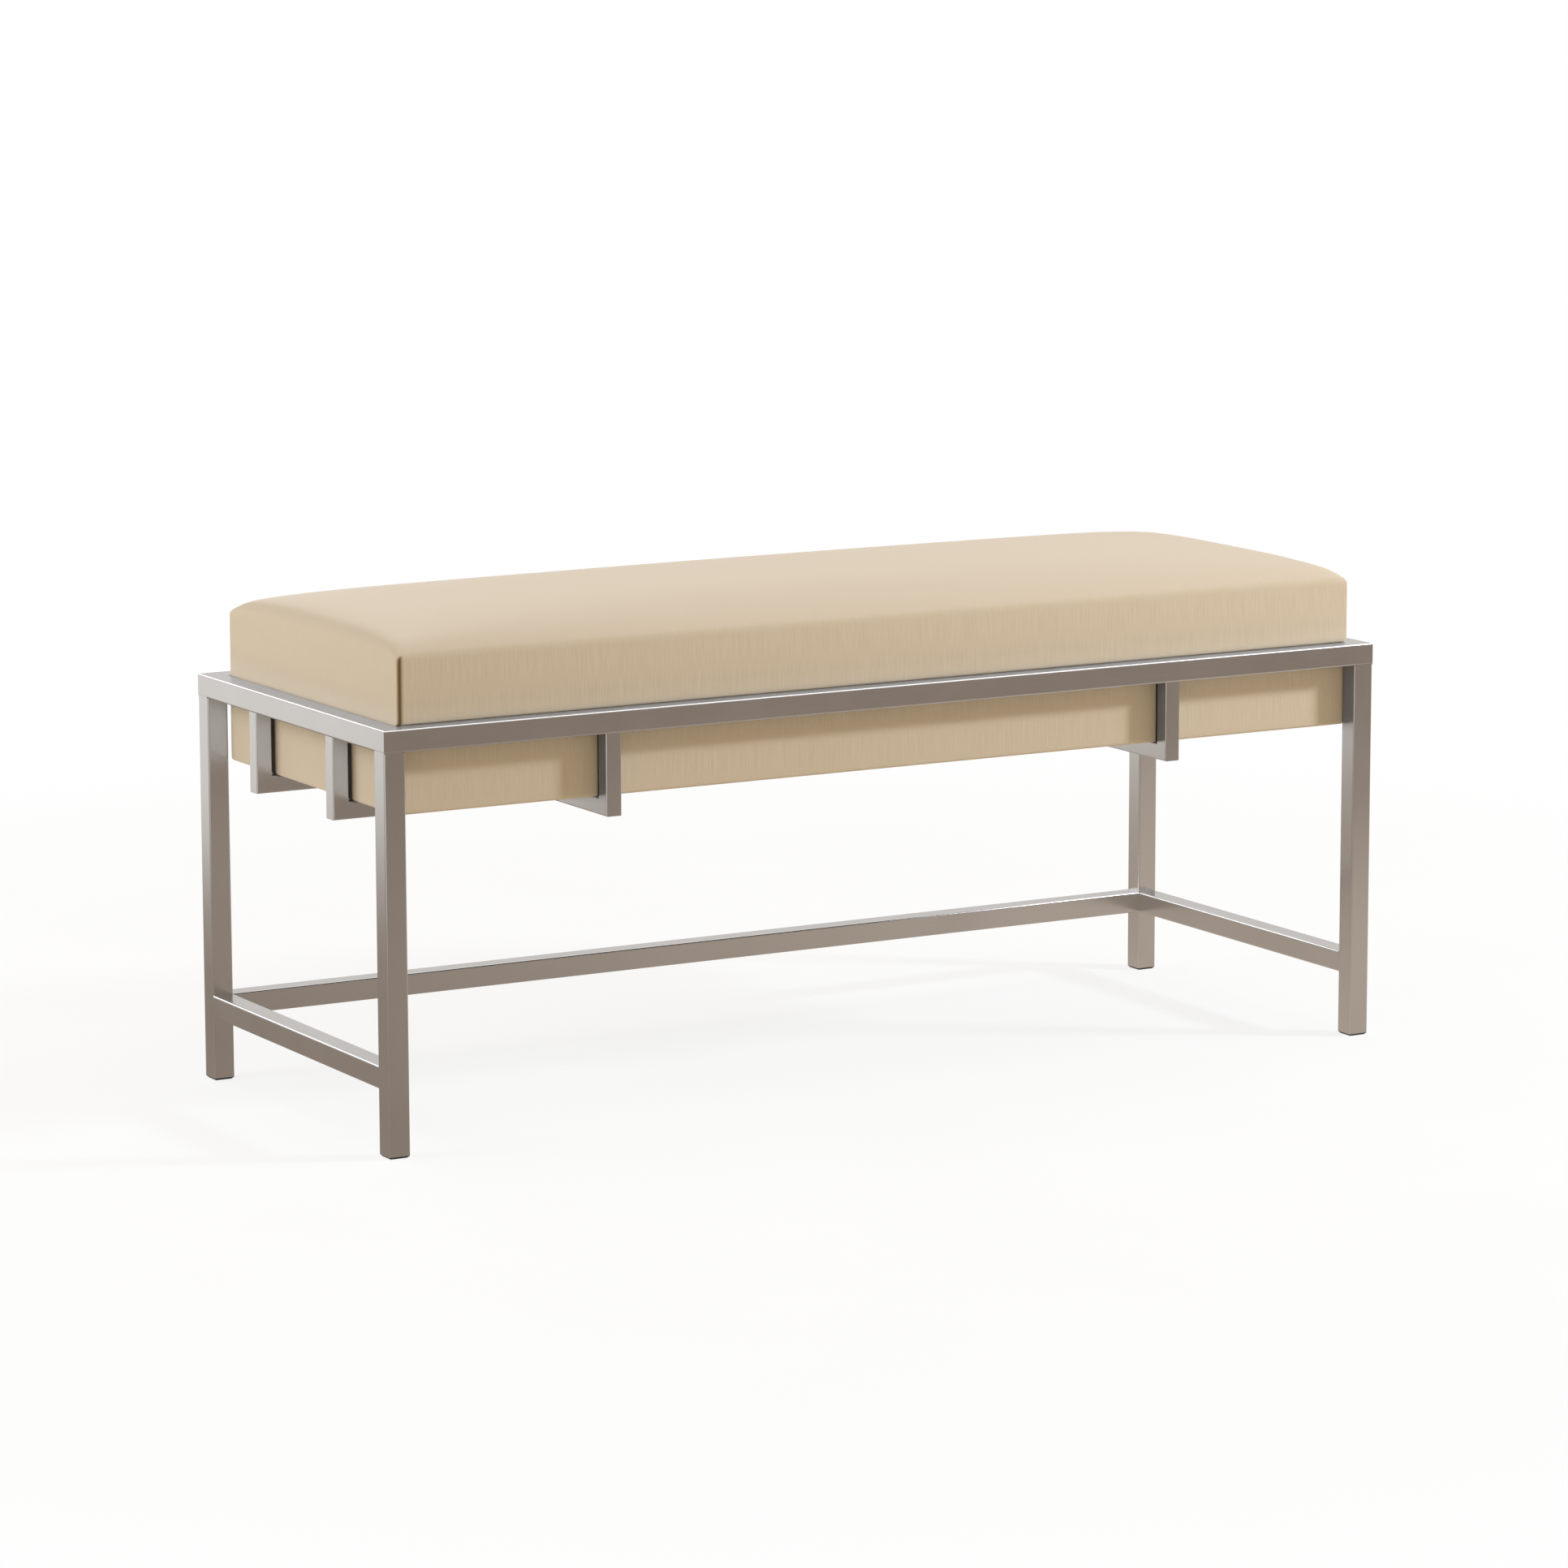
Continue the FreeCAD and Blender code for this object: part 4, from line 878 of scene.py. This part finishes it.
def make_floor():
    """A pale floor. It looks white from any side but keeps the bench's soft shadow."""
    corners = [(x * FLOOR_HALF, y * FLOOR_HALF, 0) for x, y in ((-1, -1), (1, -1), (1, 1), (-1, 1))]
    floor = new_object("studio_floor", corners, [(0, 1, 2, 3)], smooth=False)
    material, tree = new_material("studio_floor")
    path = add_node(tree, "ShaderNodeLightPath").outputs
    place = object_place(tree)
    # To the camera: white, with a share of the painted floor and its shadow near the bench.
    clouds = ramp(tree, noise_at(tree, place, 3.0, 3.0), 0.3, 0.7)
    paint = mix_colours(tree, clouds, FLOOR_PAINT_DARK, FLOOR_PAINT_PALE)
    plain = add_node(tree, "ShaderNodeBsdfDiffuse", {"Color": paint}).outputs[0]
    white = add_node(tree, "ShaderNodeEmission", {"Color": (*WHITE, 1.0)}).outputs[0]
    shadow_share = ramp(tree, length_of(tree, place), *SHADOW_FADES, SHADOW_SHARE, 0.0, smooth=True)
    seen = mix_shaders(tree, shadow_share, white, plain)
    # To the metal: a warm floor around the bench, its dark left side a painted shadow, turning pale
    # further out.
    along = add_node(tree, "ShaderNodeSeparateXYZ", {0: place}).outputs["X"]
    rightward = ramp(tree, along, -0.9, 1.1, smooth=True)
    near = mix_colours(tree, rightward, NEAR_FLOOR_LEFT, NEAR_FLOOR_RIGHT)
    far = mix_colours(tree, darkness(tree, place), FAR_FLOOR, DARK_SIDE)
    apart = length_of(tree, stretched(tree, place, (0.4, 1.0, 1.0)))
    mirrored = mix_colours(tree, ramp(tree, apart, 0.85, 2.15, smooth=True), near, far)
    mirrored = add_node(tree, "ShaderNodeEmission", {"Color": mirrored}).outputs[0]
    # To the cloth: warm light from the floor.
    bounce = add_node(tree, "ShaderNodeBsdfDiffuse", {"Color": (*FLOOR_BOUNCE, 1.0)}).outputs[0]
    other = mix_shaders(tree, path["Is Glossy Ray"], bounce, mirrored)
    shader = mix_shaders(tree, path["Is Camera Ray"], other, seen)
    # From below, the floor is clear, so that the bench's underside shows.
    below = add_node(tree, "ShaderNodeNewGeometry").outputs["Backfacing"]
    clear = add_node(tree, "ShaderNodeBsdfTransparent").outputs[0]
    shader = mix_shaders(tree, below, shader, clear)
    output = add_node(tree, "ShaderNodeOutputMaterial")
    tree.links.new(shader, output.inputs["Surface"])
    dress(floor, material)


def make_world():
    """White to the camera, even soft light on the bench, and the studio's sides in the metal."""
    world = bpy.data.worlds.new("studio")
    world.use_nodes = True
    tree = world.node_tree
    tree.nodes.clear()
    path = add_node(tree, "ShaderNodeLightPath").outputs
    direction = add_node(tree, "ShaderNodeTexCoord").outputs["Generated"]
    height = add_node(tree, "ShaderNodeSeparateXYZ", {0: direction}).outputs["Z"]
    sides = mix_colours(tree, darkness(tree, direction), PALE_SIDE, DARK_SIDE)
    mirrored = mix_colours(tree, ramp(tree, height, 0.2, 0.65, smooth=True), sides, WHITE)
    mirrored = mix_colours(tree, ramp(tree, height, 0.80, 0.93, smooth=True), mirrored, CEILING)
    soft = mix_colours(tree, path["Is Glossy Ray"], WARM_AMBIENT, mirrored)
    seen = mix_colours(tree, path["Is Camera Ray"], soft, WHITE)
    background = add_node(tree, "ShaderNodeBackground", {"Color": seen, "Strength": 1.0})
    output = add_node(tree, "ShaderNodeOutputWorld")
    tree.links.new(background.outputs[0], output.inputs["Surface"])
    bpy.context.scene.world = world


def add_softbox(name, place, width, height, power, facing=SEAT_MIDDLE):
    """A rectangular area lamp that faces one point: the middle of the seat, unless told else.

    Places and sides are in metres, and the power is in watts.
    """
    lamp = bpy.data.lights.new(name, "AREA")
    lamp.shape, lamp.size, lamp.size_y = "RECTANGLE", width, height
    lamp.energy, lamp.color = power, COOL
    holder = bpy.data.objects.new(name, lamp)
    holder.location = place
    aim = Vector(facing) - Vector(place)
    holder.rotation_euler = aim.to_track_quat("-Z", "Y").to_euler()
    bpy.context.scene.collection.objects.link(holder)


make_floor()
make_world()
add_softbox("key", (3.4, -2.07, 2.57), 0.5, 0.5, 150.0)
add_softbox("overhead", (0.0, 0.3, 2.6), 3.6, 2.6, 9.5)
add_softbox("left", (-2.4, 0.4, 1.3), 1.2, 1.6, 26.5)
# These two draw the bright lines along the ring's edges.
add_softbox("rear_strip", (-1.1, 2.7, 1.7), 0.6, 1.6, 9.0)
add_softbox("front_strip", (1.3, -0.72, 2.6), 2.2, 0.6, 9.0, facing=(1.3, 0.0, 0.42))

# ---- camera --------------------------------------------------------------------------------------

# Fitted to the straight edges of the tubes in the photograph, without any lens shift.
PICTURE_SIDE = 1932           # in pixels, as is the focal length
FOCAL_PIXELS = 7207.75
SENSOR_WIDTH = 36.0           # in millimetres, as Blender has it
CAMERA_PLACE = (-3.1489, -5.4937, 1.3788)
CAMERA_YAW, CAMERA_PITCH, CAMERA_ROLL = 29.7116, 9.6283, -0.1345

lens = bpy.data.cameras.new("photo_camera")
lens.sensor_width = SENSOR_WIDTH
lens.lens = FOCAL_PIXELS / PICTURE_SIDE * lens.sensor_width
camera = bpy.data.objects.new("photo_camera", lens)
turn = Matrix.Rotation(math.radians(-CAMERA_YAW), 4, "Z")
turn @= Matrix.Rotation(math.radians(90 - CAMERA_PITCH), 4, "X")
turn @= Matrix.Rotation(math.radians(CAMERA_ROLL), 4, "Z")
camera.matrix_world = Matrix.Translation(CAMERA_PLACE) @ turn
bpy.context.scene.collection.objects.link(camera)
bpy.context.scene.camera = camera
bpy.context.scene.view_settings.view_transform = "Standard"
